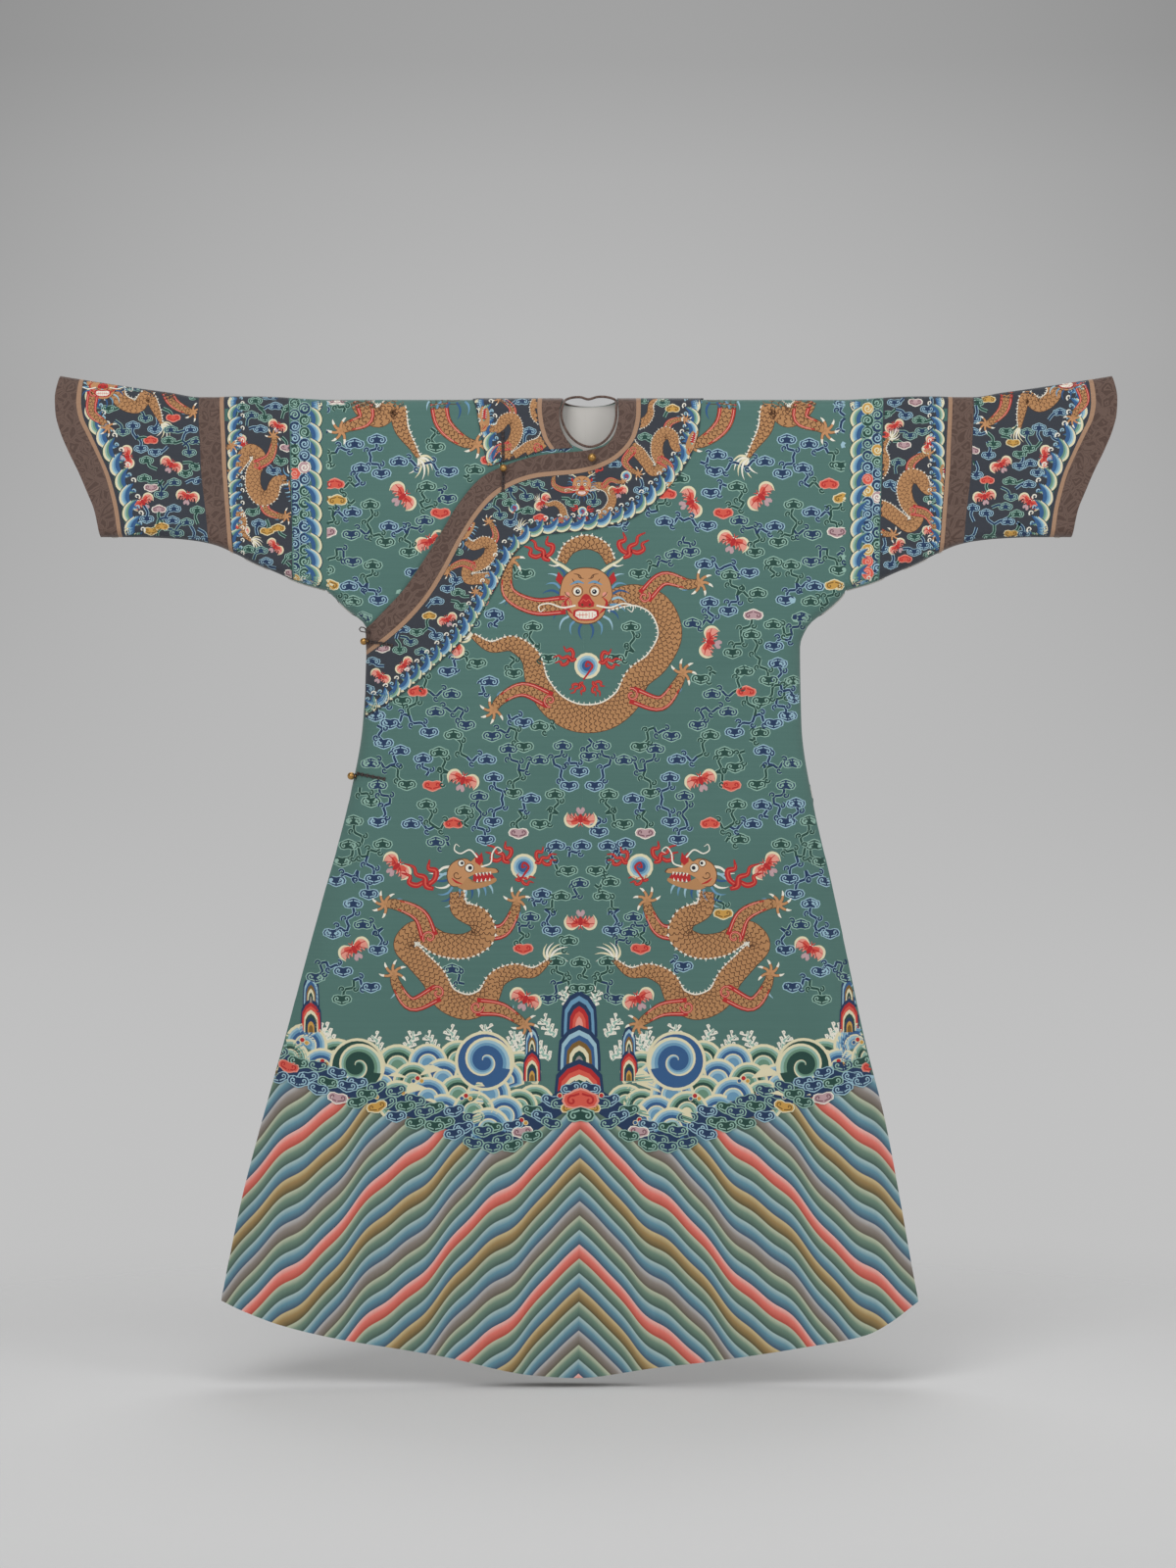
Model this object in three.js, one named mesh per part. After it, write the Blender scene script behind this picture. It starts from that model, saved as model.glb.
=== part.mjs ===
// A festival robe of woven silk, hung spread out: a long flaring body that closes on the wearer's right,
// straight sleeves with bands, flaring horse-hoof cuffs, a round neck, and four ball buttons.
// Millimetres, +Z up. The front faces -Y, and the wearer's left is +X. The origin is on the shoulder line
// at the middle of the neck, where the robe is held.

import * as THREE from "three";

// Cloth and layers
const CLOTH = 1.6; // lined silk
const BAND = 1.2; // collar, piping and neck borders
const SEAM = 0.3; // gap between pieces that are sewn edge to edge
const LAYER_GAP = 0.6; // gap under a piece that lies on a panel
const OVERLAP_LIFT = 2.6; // the overlapping front rides this far over the front under it
const LIFT_FADES = 60; // width over which that lift dies out across the left front

// Hang of the cloth
const SLEEVE_HALF_DEPTH = 13;
const BODY_HALF_DEPTH = { shoulder: 15, waist: 19, hem: 26 };
const WAIST_DROP = 600;
const FOLD_RADIUS = 13; // round of the shoulder line and of a sleeve's lower edge
const SIDE_ROUND = 40; // width of the round at the body's side seams
const SLIT_DROP = 557; // the sides are open below this
const SLIT_GAPE = 9; // each edge of a slit stands this far from the middle at the hem

// Main sizes
const ARMHOLE_REACH = 377;
const SLEEVE_ROOT_DROP = 276; // the sleeve's lower edge meets the side here
const CLOSING_DROP = 331; // the closing edge meets the right side here
const SIDE_LENGTH = 1303; // shoulder line to the hem's corners
const HEM_FROM = 0.62; // share of the length below which the rows swing to the hem's curve
const TAN_WIDTH = 6.5;

// The sides from the sleeve's root to the hem. drop is below the shoulder line, right and left are from the middle.
const SIDES = [
  { drop: 275, right: -377, left: 377 },
  { drop: 287, right: -364, left: 369 },
  { drop: 301, right: -350, left: 354 },
  { drop: 329, right: -319, left: 321 },
  { drop: 358, right: -315, left: 310 },
  { drop: 470, right: -321, left: 312 },
  { drop: 585, right: -342, left: 329 },
  { drop: 700, right: -374, left: 355 },
  { drop: 812, right: -405, left: 379 },
  { drop: 925, right: -435, left: 403 },
  { drop: 1040, right: -467, left: 432 },
  { drop: 1155, right: -497, left: 454 },
  { drop: 1267, right: -520, left: 474 },
  { drop: 1303, right: -527, left: 481 },
];

// The hem's curve.
const HEM = [
  { x: -527, drop: 1303 },
  { x: -440, drop: 1336 },
  { x: -350, drop: 1358 },
  { x: -200, drop: 1383 },
  { x: -75, drop: 1409 },
  { x: -11, drop: 1413 },
  { x: 105, drop: 1398 },
  { x: 300, drop: 1372 },
  { x: 400, drop: 1352 },
  { x: 481, drop: 1305 },
];

// A sleeve's upper and lower edges. reach is from the middle of the robe.
const SLEEVE_EDGES = [
  { reach: 377, rise: 0, drop: 276 },
  { reach: 415, rise: 2, drop: 265 },
  { reach: 447, rise: 4, drop: 251 },
  { reach: 480, rise: 5, drop: 237 },
  { reach: 508, rise: 5, drop: 223 },
  { reach: 536, rise: 4, drop: 211 },
  { reach: 562, rise: 4, drop: 205 },
  { reach: 600, rise: 10, drop: 201 },
  { reach: 650, rise: 17, drop: 199 },
  { reach: 703, rise: 25, drop: 199 },
  { reach: 770, rise: 36, drop: 199 },
];

// The seams across a sleeve. down is the share of the way from its upper to its lower edge.
const SLEEVE_SEAMS = [
  { down: 0, border: 430, tan: 524, damask: 530, cuff: 560, hoofTan: 727, hoof: 733, end: 761 },
  { down: 0.15, border: 429, tan: 523, damask: 529, cuff: 560, hoofTan: 730, hoof: 737, end: 768 },
  { down: 0.24, border: 428, tan: 522, damask: 528, cuff: 559, hoofTan: 727, hoof: 734, end: 767 },
  { down: 0.34, border: 428, tan: 521, damask: 527, cuff: 558, hoofTan: 716, hoof: 723, end: 761 },
  { down: 0.47, border: 427, tan: 520, damask: 526, cuff: 557, hoofTan: 702, hoof: 708, end: 748 },
  { down: 0.59, border: 426, tan: 518, damask: 524, cuff: 555, hoofTan: 690, hoof: 696, end: 734 },
  { down: 0.71, border: 425, tan: 516, damask: 522, cuff: 552, hoofTan: 682, hoof: 688, end: 722 },
  { down: 0.83, border: 425, tan: 514, damask: 520, cuff: 549, hoofTan: 676, hoof: 682, end: 711 },
  { down: 1, border: 424, tan: 511, damask: 517, cuff: 546, hoofTan: 671, hoof: 677, end: 703 },
];

// The neck border from the left shoulder round the neck and down the closing edge to the right underarm:
// the damask's inner edge, the tan piping's outer edge and the dragon border's outer edge.
const NECK_BORDER = [
  { inX: 46, inZ: 0, tanX: 79, tanZ: 0, outX: 166, outZ: 0 },
  { inX: 46.6, inZ: -13, tanX: 79, tanZ: -13, outX: 165.7, outZ: -13 },
  { inX: 47, inZ: -25, tanX: 78, tanZ: -30, outX: 163, outZ: -45 },
  { inX: 40, inZ: -53, tanX: 69, tanZ: -60, outX: 150, outZ: -85 },
  { inX: 27, inZ: -68, tanX: 47, tanZ: -85, outX: 118, outZ: -130 },
  { inX: 7, inZ: -74, tanX: 20, tanZ: -100, outX: 70, outZ: -171 },
  { inX: -17, inZ: -77, tanX: -10, tanZ: -108, outX: 12, outZ: -189 },
  { inX: -45, inZ: -79, tanX: -41, tanZ: -111, outX: -35, outZ: -194 },
  { inX: -80, inZ: -85, tanX: -75, tanZ: -115, outX: -72, outZ: -200 },
  { inX: -117, inZ: -97, tanX: -103, tanZ: -124, outX: -95, outZ: -216 },
  { inX: -152, inZ: -115, tanX: -130, tanZ: -140, outX: -112, outZ: -238 },
  { inX: -184, inZ: -152, tanX: -153, tanZ: -164, outX: -127, outZ: -268 },
  { inX: -210, inZ: -195, tanX: -178, tanZ: -202, outX: -146, outZ: -301 },
  { inX: -237, inZ: -238, tanX: -203, tanZ: -249, outX: -172, outZ: -343 },
  { inX: -264, inZ: -277, tanX: -229, tanZ: -290, outX: -206, outZ: -376 },
  { inX: -291, inZ: -306, tanX: -266, tanZ: -331, outX: -254, outZ: -418 },
  { inX: -315, inZ: -331, tanX: -314, tanZ: -370, outX: -317, outZ: -461 },
];

// The part of the neck border on the front underneath, from the right shoulder down to the closing edge.
const UNDER_BORDER = [
  { inX: -33, inZ: 0, tanX: -70, tanZ: 0, outX: -164, outZ: 0 },
  { inX: -37.5, inZ: -13, tanX: -70.5, tanZ: -13, outX: -159, outZ: -13 },
  { inX: -38.5, inZ: -25, tanX: -69.5, tanZ: -26, outX: -156, outZ: -29 },
  { inX: -37, inZ: -40, tanX: -67, tanZ: -40, outX: -153, outZ: -46 },
  { inX: -29, inZ: -57, tanX: -61, tanZ: -59, outX: -148, outZ: -72 },
  { inX: -19, inZ: -71, tanX: -52, tanZ: -73, outX: -142, outZ: -98 },
];

// The neck border on the back, as half widths and depths of half rings about the neck.
const BACK_NECK = { middle: 5, halfWidth: 40, drop: 9 };
const BACK_TAN = { halfWidth: 74, drop: 43 };
const BACK_BORDER = { halfWidth: 165, drop: 118 };

// The rolled binding round the neck hole. Its back stands a little over the shoulder line, in two low humps.
const BINDING_RADIUS = 1.4;
const NECK_HOLE = [
  { x: 43, z: -1, side: 0 },
  { x: 43.6, z: -14, side: -1 },
  { x: 43, z: -30, side: -1 },
  { x: 37, z: -48, side: -1 },
  { x: 25, z: -62.5, side: -1 },
  { x: 7, z: -69.5, side: -1 },
  { x: -10, z: -65, side: -1 },
  { x: -23, z: -54, side: -1 },
  { x: -32, z: -39, side: -1 },
  { x: -36, z: -22, side: -1 },
  { x: -33, z: -8, side: -1 },
  { x: -30.5, z: -1, side: 0 },
  { x: -22, z: 3.5, side: 1 },
  { x: -8, z: 4.5, side: 1 },
  { x: 3, z: 1.5, side: 1 },
  { x: 17, z: 5, side: 1 },
  { x: 31, z: 4.5, side: 1 },
];
const BINDING_BACK = 7; // the binding's middle stands this far back of the shoulder line

// Long soft folds. top and hem give a fold's middle at its start and at the hem, from and rise its start and height.
const FRONT_FOLDS = [
  { from: 300, top: -250, hem: -430, width: 62, rise: 4 },
  { from: 420, top: -170, hem: -285, width: 55, rise: -4 },
  { from: 520, top: -75, hem: -140, width: 58, rise: 4 },
  { from: 480, top: 20, hem: 40, width: 60, rise: -4 },
  { from: 380, top: 120, hem: 180, width: 56, rise: 5 },
  { from: 440, top: 200, hem: 320, width: 52, rise: -4 },
  { from: 300, top: 250, hem: 420, width: 44, rise: 5 },
];
const BACK_FOLDS = [
  { from: 320, top: -230, hem: -400, width: 60, rise: 5 },
  { from: 460, top: -120, hem: -230, width: 58, rise: -4 },
  { from: 400, top: -20, hem: -60, width: 64, rise: 5 },
  { from: 430, top: 90, hem: 130, width: 56, rise: -5 },
  { from: 350, top: 190, hem: 290, width: 58, rise: 4 },
];
// Short slack folds that run from each underarm towards the chest.
const UNDERARM_FOLDS = { reach: 300, drop: 335, length: 190, width: 24, rise: 3.5, slopes: [0.25, 0.75, 1.4] };
const FRONT = { folds: FRONT_FOLDS, underarmOn: [1] };
const BACK = { folds: BACK_FOLDS, underarmOn: [-1, 1] };

const COLOURS = {
  green: 0x4b7066,
  navy: 0x23262f,
  damask: 0x57423a,
  tan: 0x9a7a60,
  brass: 0xb08a3c,
  cord: 0x2c2220,
};

const material = (colour, roughness = 0.8, metalness = 0) =>
  new THREE.MeshStandardMaterial({ color: colour, roughness, metalness });
const silk = {
  green: material(COLOURS.green),
  navy: material(COLOURS.navy),
  damask: material(COLOURS.damask),
  tan: material(COLOURS.tan),
  brass: material(COLOURS.brass, 0.35, 1),
  cord: material(COLOURS.cord, 0.9),
};

const clamp01 = (t) => Math.min(1, Math.max(0, t));
const smoothstep = (low, high, t) => {
  const s = clamp01((t - low) / (high - low));
  return s * s * (3 - 2 * s);
};
const lerp = THREE.MathUtils.lerp;

// One column of a table as a smooth function of another that rises, with no overshoot.
function smooth(table, key, value) {
  const xs = table.map((row) => row[key]);
  const ys = table.map((row) => row[value]);
  const slopes = ys.slice(1).map((y, i) => (y - ys[i]) / (xs[i + 1] - xs[i]));
  const tangents = ys.map((_, i) => {
    if (i === 0) return slopes[0];
    if (i === ys.length - 1) return slopes[i - 1];
    return slopes[i - 1] * slopes[i] <= 0 ? 0 : (2 * slopes[i - 1] * slopes[i]) / (slopes[i - 1] + slopes[i]);
  });
  return (x) => {
    const at = Math.min(Math.max(x, xs[0]), xs[xs.length - 1]);
    let i = 0;
    while (i < xs.length - 2 && at > xs[i + 1]) i++;
    const h = xs[i + 1] - xs[i];
    const t = (at - xs[i]) / h;
    const rest = 1 - t;
    return (
      ys[i] * (1 + 2 * t) * rest * rest +
      ys[i + 1] * t * t * (3 - 2 * t) +
      h * tangents[i] * t * rest * rest -
      h * tangents[i + 1] * t * t * rest
    );
  };
}

const rightSide = smooth(SIDES, "drop", "right");
const leftSide = smooth(SIDES, "drop", "left");
const hemDrop = smooth(HEM, "x", "drop");
const sleeveRise = smooth(SLEEVE_EDGES, "reach", "rise");
const sleeveDrop = smooth(SLEEVE_EDGES, "reach", "drop");
const topEdge = (x) => (Math.abs(x) > ARMHOLE_REACH ? sleeveRise(Math.abs(x)) : 0);
const seamX = (z) => lerp(-1, -11, clamp01(-z / 1400)); // the middle seam leans a little

// The closed lower edge of a sleeve and of the body's side, as short straight steps.
function closedEdge(sign, sideAt) {
  const points = [];
  for (let reach = 770; reach > ARMHOLE_REACH; reach -= 12) points.push([sign * reach, -sleeveDrop(reach)]);
  for (let drop = SLEEVE_ROOT_DROP; drop <= SIDE_LENGTH; drop += 6) points.push([sideAt(drop), -drop]);
  points.push([sideAt(SIDE_LENGTH), -SIDE_LENGTH - 60]);
  return points;
}
const edges = { right: closedEdge(-1, rightSide), left: closedEdge(1, leftSide) };

function distanceTo(edge, x, z) {
  let least = Infinity;
  for (let i = 1; i < edge.length; i++) {
    const [ax, az] = edge[i - 1];
    const [bx, bz] = edge[i];
    const t = clamp01(((x - ax) * (bx - ax) + (z - az) * (bz - az)) / ((bx - ax) ** 2 + (bz - az) ** 2));
    least = Math.min(least, Math.hypot(x - lerp(ax, bx, t), z - lerp(az, bz, t)));
  }
  return least;
}

// Whether a point lies past the closed edges.
function isPastEdge(x, z) {
  if (-z < SLEEVE_ROOT_DROP) return Math.abs(x) > ARMHOLE_REACH && -z > sleeveDrop(Math.abs(x));
  return Math.abs(x) > Math.abs(x < 0 ? rightSide(-z) : leftSide(-z));
}

const roundOff = (t) => Math.sqrt(1 - (1 - clamp01(t)) ** 2);

function foldsAt(folds, x, z) {
  let sum = 0;
  for (const fold of folds) {
    const grown = smoothstep(fold.from, SIDE_LENGTH, -z);
    const middle = lerp(fold.top, fold.hem, clamp01((-z - fold.from) / (SIDE_LENGTH - fold.from)));
    sum += fold.rise * grown * Math.exp(-(((x - middle) / fold.width) ** 2));
  }
  return sum;
}

function underarmFolds(x, z) {
  const { reach, drop, length, width, rise, slopes } = UNDERARM_FOLDS;
  const away = reach - Math.abs(x);
  let sum = 0;
  slopes.forEach((slope, i) => {
    const along = Math.hypot(away, -z - drop);
    const across = (-z - drop - slope * away) / Math.hypot(1, slope);
    const fades = smoothstep(0, 40, along) * (1 - smoothstep(length * 0.35, length, along)) * (away > 0 ? 1 : 0);
    sum += (i % 2 ? -1 : 1) * rise * fades * Math.exp(-((across / width) ** 2));
  });
  return sum;
}

// How far the cloth's skin stands from the middle plane.
function halfDepth(x, z, hang) {
  const onSleeve = smoothstep(ARMHOLE_REACH - 90, ARMHOLE_REACH, Math.abs(x)) * (1 - smoothstep(240, 340, -z));
  const body =
    -z < WAIST_DROP
      ? lerp(BODY_HALF_DEPTH.shoulder, BODY_HALF_DEPTH.waist, smoothstep(0, WAIST_DROP, -z))
      : lerp(BODY_HALF_DEPTH.waist, BODY_HALF_DEPTH.hem, smoothstep(WAIST_DROP, SIDE_LENGTH, -z));
  const full = lerp(body, SLEEVE_HALF_DEPTH, onSleeve);
  const edge = x < 0 ? edges.right : edges.left;
  const fromSide = isPastEdge(x, z) ? 0 : Math.max(0, distanceTo(edge, x, z) - SEAM);
  const sideRound = lerp(FOLD_RADIUS, SIDE_ROUND, smoothstep(260, 460, -z));
  const fromTop = Math.max(0, topEdge(x) - z);
  const open = smoothstep(SLIT_DROP - 30, SLIT_DROP + 120, -z);
  const sides = lerp(roundOff(fromSide / sideRound), Math.sin((clamp01(fromSide / sideRound) * Math.PI) / 2), open);
  const closing = sides * roundOff(fromTop / FOLD_RADIUS);
  const gape = SLIT_GAPE * Math.sqrt(clamp01((-z - SLIT_DROP) / (SIDE_LENGTH - SLIT_DROP)));
  const slack = hang.underarmOn.includes(Math.sign(x)) ? underarmFolds(x, z) : 0;
  const ripple = (foldsAt(hang.folds, x, z) + slack) * smoothstep(0.2, 1, closing);
  return gape + (full - gape) * closing + ripple;
}

// A point of the skin and its outward direction, which turns into the robe's plane at a closed edge so that
// the two faces stay clear of each other.
function skin(x, z, face, hang) {
  const depth = halfDepth(x, z, hang);
  const step = 0.6;
  const slopeX = (halfDepth(x + step, z, hang) - halfDepth(x - step, z, hang)) / (2 * step);
  const slopeZ = (halfDepth(x, z + step, hang) - halfDepth(x, z - step, hang)) / (2 * step);
  const out = new THREE.Vector3(-slopeX, face, -slopeZ).normalize();
  const most = Math.min(1, depth / CLOTH);
  if (Math.abs(out.y) > most) {
    const level = Math.max(Math.hypot(out.x, out.z), 1e-6);
    const spread = Math.sqrt(1 - most * most) / level;
    out.set(out.x * spread, face * most, out.z * spread);
  }
  return { at: new THREE.Vector3(x, face * (depth + SEAM / 2), z), out };
}
const frontSkin = (x, z) => skin(x, z, -1, FRONT);
const backSkin = (x, z) => skin(x, z, 1, BACK);
const overlapLift = (x) => OVERLAP_LIFT * (1 - smoothstep(0, LIFT_FADES, x));

// A wall of cloth over a grid of skin points: outer and inner faces, closed at its edges, or round in rows.
function clothWall(grid, lift, thickness, closedRows = false) {
  const rows = grid.length;
  const columns = grid[0].length;
  const positions = [];
  for (const deep of [0, thickness]) {
    for (const row of grid) {
      for (const { at, out } of row) {
        const p = at.clone().addScaledVector(out, lift(at.x, at.z) - deep);
        positions.push(p.x, p.y, p.z);
      }
    }
  }
  const outer = (r, c) => (r % rows) * columns + c;
  const inner = (r, c) => rows * columns + outer(r, c);
  const triangles = [];
  const quad = (a, b, c, d) => triangles.push(a, b, c, a, c, d);
  const lastRow = closedRows ? rows : rows - 1;
  for (let r = 0; r < lastRow; r++) {
    for (let c = 0; c < columns - 1; c++) {
      quad(outer(r, c), outer(r + 1, c), outer(r + 1, c + 1), outer(r, c + 1));
      quad(inner(r, c), inner(r, c + 1), inner(r + 1, c + 1), inner(r + 1, c));
    }
    quad(outer(r + 1, 0), outer(r, 0), inner(r, 0), inner(r + 1, 0));
    quad(outer(r, columns - 1), outer(r + 1, columns - 1), inner(r + 1, columns - 1), inner(r, columns - 1));
  }
  for (let c = 0; c < columns - 1 && !closedRows; c++) {
    quad(outer(0, c), outer(0, c + 1), inner(0, c + 1), inner(0, c));
    quad(outer(rows - 1, c + 1), outer(rows - 1, c), inner(rows - 1, c), inner(rows - 1, c + 1));
  }
  const geometry = new THREE.BufferGeometry();
  geometry.setAttribute("position", new THREE.Float32BufferAttribute(positions, 3));
  geometry.setIndex(triangles);
  geometry.computeVertexNormals();
  return geometry;
}

// Shares from 0 to 1 along a length, close together where the cloth rounds off at its start or end.
function shares(length, even, { start = 0, end = 0, steps = 5 } = {}) {
  const marks = [0];
  for (let i = 1; i <= steps && start; i++) marks.push(start * (1 - Math.cos((i * Math.PI) / 2 / steps)));
  const from = marks[marks.length - 1];
  for (let i = 1; i <= even; i++) marks.push(lerp(from, length - end, i / even));
  for (let i = 1; i <= steps && end; i++) marks.push(length - end * (1 - Math.sin((i * Math.PI) / 2 / steps)));
  return marks.map((mark) => mark / length);
}

// Rows of a panel, as drops below the shoulder line: round at the top, close at the underarm, wider below.
const TOP_ROUND = shares(FOLD_RADIUS, 0, { start: FOLD_RADIUS, steps: 5 }).map((share) => share * FOLD_RADIUS);
const PANEL_DROPS = [
  ...TOP_ROUND, 30, 46, 60, 71, 95, 130, 170, 215, 250, 274.5, 281, 289, 301, 315, 329, 344, 358,
  410, 470, 530, 600, 680, 760, 850, 940, 1030, 1120, 1210, 1262, SIDE_LENGTH,
];
const BACK_DROPS = [
  ...TOP_ROUND, 60, 120, 190, 240, 274.5, 281, 289, 301, 315, 329, 344, 358,
  440, 530, 640, 760, 880, 1000, 1120, 1230, SIDE_LENGTH,
];

// Height of a row that swings to the hem's curve on its way down. hemX is where its column meets the hem.
function hung(drop, hemX) {
  const swing = smoothstep(HEM_FROM * SIDE_LENGTH, SIDE_LENGTH, drop);
  return -drop * lerp(1, hemDrop(hemX) / SIDE_LENGTH, swing);
}

// A panel in rows between two edges, each given as x at a drop.
function panelGrid(skinAt, drops, fromX, toX, columns) {
  return drops.map((drop) => columns.map((share) => {
    const x = lerp(fromX(drop), toX(drop), share);
    const hemX = lerp(fromX(SIDE_LENGTH), toX(SIDE_LENGTH), share);
    return skinAt(x, hung(drop, hemX));
  }));
}

const COLUMN_STEPS = { start: 0, end: SIDE_ROUND, steps: 6 };
const towardsSide = (even) => shares(340, even, COLUMN_STEPS);
const fromSide = (even) => towardsSide(even).map((share) => 1 - share).reverse();
const armholeOr = (side, sign) => (drop) =>
  drop < SLEEVE_ROOT_DROP - 1 ? sign * (ARMHOLE_REACH - SEAM / 2) : side(drop);

const neckTable = [
  { drop: 0, left: 46, right: -33 },
  { drop: 25, left: 47, right: -39 },
  { drop: 46, left: 43, right: -35 },
  { drop: 60, left: 34, right: -27 },
  { drop: 71, left: 16, right: -14 },
  { drop: 75, left: -0.7, right: -1 },
];
const neckLeft = smooth(neckTable, "drop", "left");
const neckRight = smooth(neckTable, "drop", "right");
const middleLeft = (drop) => (drop <= 75 ? neckLeft(drop) : seamX(-drop) + SEAM / 2);
const middleRight = (drop) => (drop <= 75 ? neckRight(drop) : seamX(-drop) - SEAM / 2);

function frontLeft() {
  const grid = panelGrid(frontSkin, PANEL_DROPS, middleLeft, armholeOr(leftSide, 1), towardsSide(8));
  return clothWall(grid, overlapLift, CLOTH);
}

// The closing edge, from the neck to the right underarm.
const closingEdge = smooth(
  NECK_BORDER.slice(5).map(({ inX, inZ }) => ({ x: inX, z: inZ })).reverse(), "x", "z",
);

// The front underneath backs the overlapping front down to the hem.
const UNDER_SHORTER = 2;
const UNDER_DEEPER = 2.5; // under the overlap its skin lies this much deeper
const UNDER_NARROWER = 3; // at the open side its edge stays this far in
function frontUnder() {
  const drops = [...PANEL_DROPS.filter((drop) => drop < 360), 440, 540, 660, 790, 920, 1050, 1180, SIDE_LENGTH];
  drops[drops.length - 1] -= UNDER_SHORTER;
  const side = armholeOr(rightSide, -1);
  const inside = (drop) => side(drop) + UNDER_NARROWER * smoothstep(SLIT_DROP, SLIT_DROP + 243, drop);
  const grid = panelGrid(frontSkin, drops, inside, middleRight, fromSide(7));
  const deeper = (x, z) => -UNDER_DEEPER * smoothstep(10, 70, closingEdge(x) - z);
  return clothWall(grid, deeper, CLOTH);
}

// The overlapping front: its upper edge is the closing edge.
const OVERLAP_ROWS = [0, 0.008, 0.018, 0.03, 0.05, 0.08, 0.13, 0.18, 0.24, 0.3, 0.36, 0.43, 0.5, 0.57, 0.64, 0.71, 0.78, 0.85, 0.91, 0.96, 1];
function frontOverlap() {
  const columns = fromSide(12);
  const grid = OVERLAP_ROWS.map((row) => columns.map((share) => {
    const startX = lerp(rightSide(CLOSING_DROP), seamX(0) - SEAM / 2, share);
    const drop = lerp(-closingEdge(startX), SIDE_LENGTH, row);
    const x = lerp(rightSide(Math.max(drop, CLOSING_DROP)), seamX(-drop) - SEAM / 2, share);
    const hemX = lerp(rightSide(SIDE_LENGTH), seamX(-SIDE_LENGTH), share);
    return frontSkin(x, hung(drop, hemX));
  }));
  return clothWall(grid, () => OVERLAP_LIFT, CLOTH);
}

// The back's halves meet in the middle seam. The neck is cut just below the shoulder line.
function backPanel(sign) {
  const side = armholeOr(sign > 0 ? leftSide : rightSide, sign);
  const neck = (drop) => {
    const part = clamp01((drop - 2) / (BACK_NECK.drop - 2));
    const open = BACK_NECK.halfWidth * Math.sqrt(1 - part * part);
    const middle = lerp(BACK_NECK.middle, seamX(-drop), part);
    return middle + sign * Math.max(open, SEAM / 2);
  };
  const drops = [...BACK_DROPS.slice(0, 4), BACK_NECK.drop, ...BACK_DROPS.slice(4)].sort((a, b) => a - b);
  const grid = sign > 0
    ? panelGrid(backSkin, drops, side, neck, fromSide(7))
    : panelGrid(backSkin, drops, neck, side, towardsSide(7));
  return clothWall(grid, () => 0, CLOTH);
}

// A strip between two edges of a border table, from share a to share b of the way across.
function curveOf(rows, x, z) {
  const curve = new THREE.CatmullRomCurve3(rows.map((row) => new THREE.Vector3(row[x], 0, row[z])), false, "centripetal");
  return (share) => {
    const spans = share * (rows.length - 1);
    return curve.getPoint(spans / (rows.length - 1));
  };
}

function borderStrip(rows, which, along, across, level) {
  const [inner, tan, outer] = [["inX", "inZ"], ["tanX", "tanZ"], ["outX", "outZ"]].map(([x, z]) => curveOf(rows, x, z));
  const pipingInside = (s, more) => shifted(tan(s), inner(s), TAN_WIDTH + more);
  const edgesOf = {
    damask: (s) => [inner(s), pipingInside(s, SEAM)],
    tan: (s) => [pipingInside(s, 0), tan(s)],
    border: (s) => [shifted(tan(s), outer(s), SEAM), outer(s)],
  };
  const firstSpan = 1 / (rows.length - 1);
  const turned = TOP_ROUND.slice(0, -1).map((drop) => ({ s: (firstSpan * drop) / FOLD_RADIUS, drop }));
  const stations = [...turned, ...along.map((share) => ({ s: lerp(firstSpan, 1, share) }))];
  const grid = across.map((share) => stations.map(({ s, drop }) => {
    const [a, b] = edgesOf[which](s);
    const p = a.lerp(b, share);
    return frontSkin(p.x, drop === undefined ? p.z : -drop);
  }));
  return clothWall(rows[0].inX > 0 ? grid.reverse() : grid, level, BAND);
}
const shifted = (from, towards, by) => from.clone().addScaledVector(towards.clone().sub(from).normalize(), by);

const onPanel = (x) => overlapLift(x) + LAYER_GAP + BAND;
const overUnder = () => LAYER_GAP + BAND;

// Shares along the neck border below its turn over the shoulder line, close together at the underarm.
const NECK_ALONG = shares(1, 25, { end: 0.07, steps: 8 });
const UNDER_ALONG = [0, 0.12, 0.25, 0.4, 0.6, 0.8, 1];

// Angles of the half rings about the neck on the back, close together where a ring turns over the shoulder.
const BACK_ANGLES = (() => {
  const turns = [BACK_NECK, BACK_TAN, BACK_BORDER].flatMap((ring) =>
    TOP_ROUND.filter((drop) => drop < ring.drop).map((drop) => Math.asin(drop / ring.drop)));
  const even = [30, 42, 54, 66, 78, 90].map((degrees) => (degrees * Math.PI) / 180);
  const quarter = [];
  for (const angle of [...turns, ...even].sort((a, b) => a - b)) {
    if (!quarter.length || angle - quarter[quarter.length - 1] > 0.014) quarter.push(angle);
  }
  return [...quarter, ...quarter.slice(0, -1).reverse().map((angle) => Math.PI - angle)];
})();

// A half ring of the neck border on the back, from the left shoulder to the right.
function backStrip(inside, outside, gap, across) {
  const onRing = (ring, more, angle) => [
    BACK_NECK.middle + (ring.halfWidth + more) * Math.cos(angle), -(ring.drop + more) * Math.sin(angle),
  ];
  const grid = across.map((share) => BACK_ANGLES.map((angle) => {
    const [ax, az] = onRing(inside, gap, angle);
    const [bx, bz] = onRing(outside, 0, angle);
    return backSkin(lerp(ax, bx, share), lerp(az, bz, share));
  }));
  return clothWall(grid, () => overUnder() + 0.5, BAND);
}
const inward = (ring, by) => ({ halfWidth: ring.halfWidth - by, drop: ring.drop - by });

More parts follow.
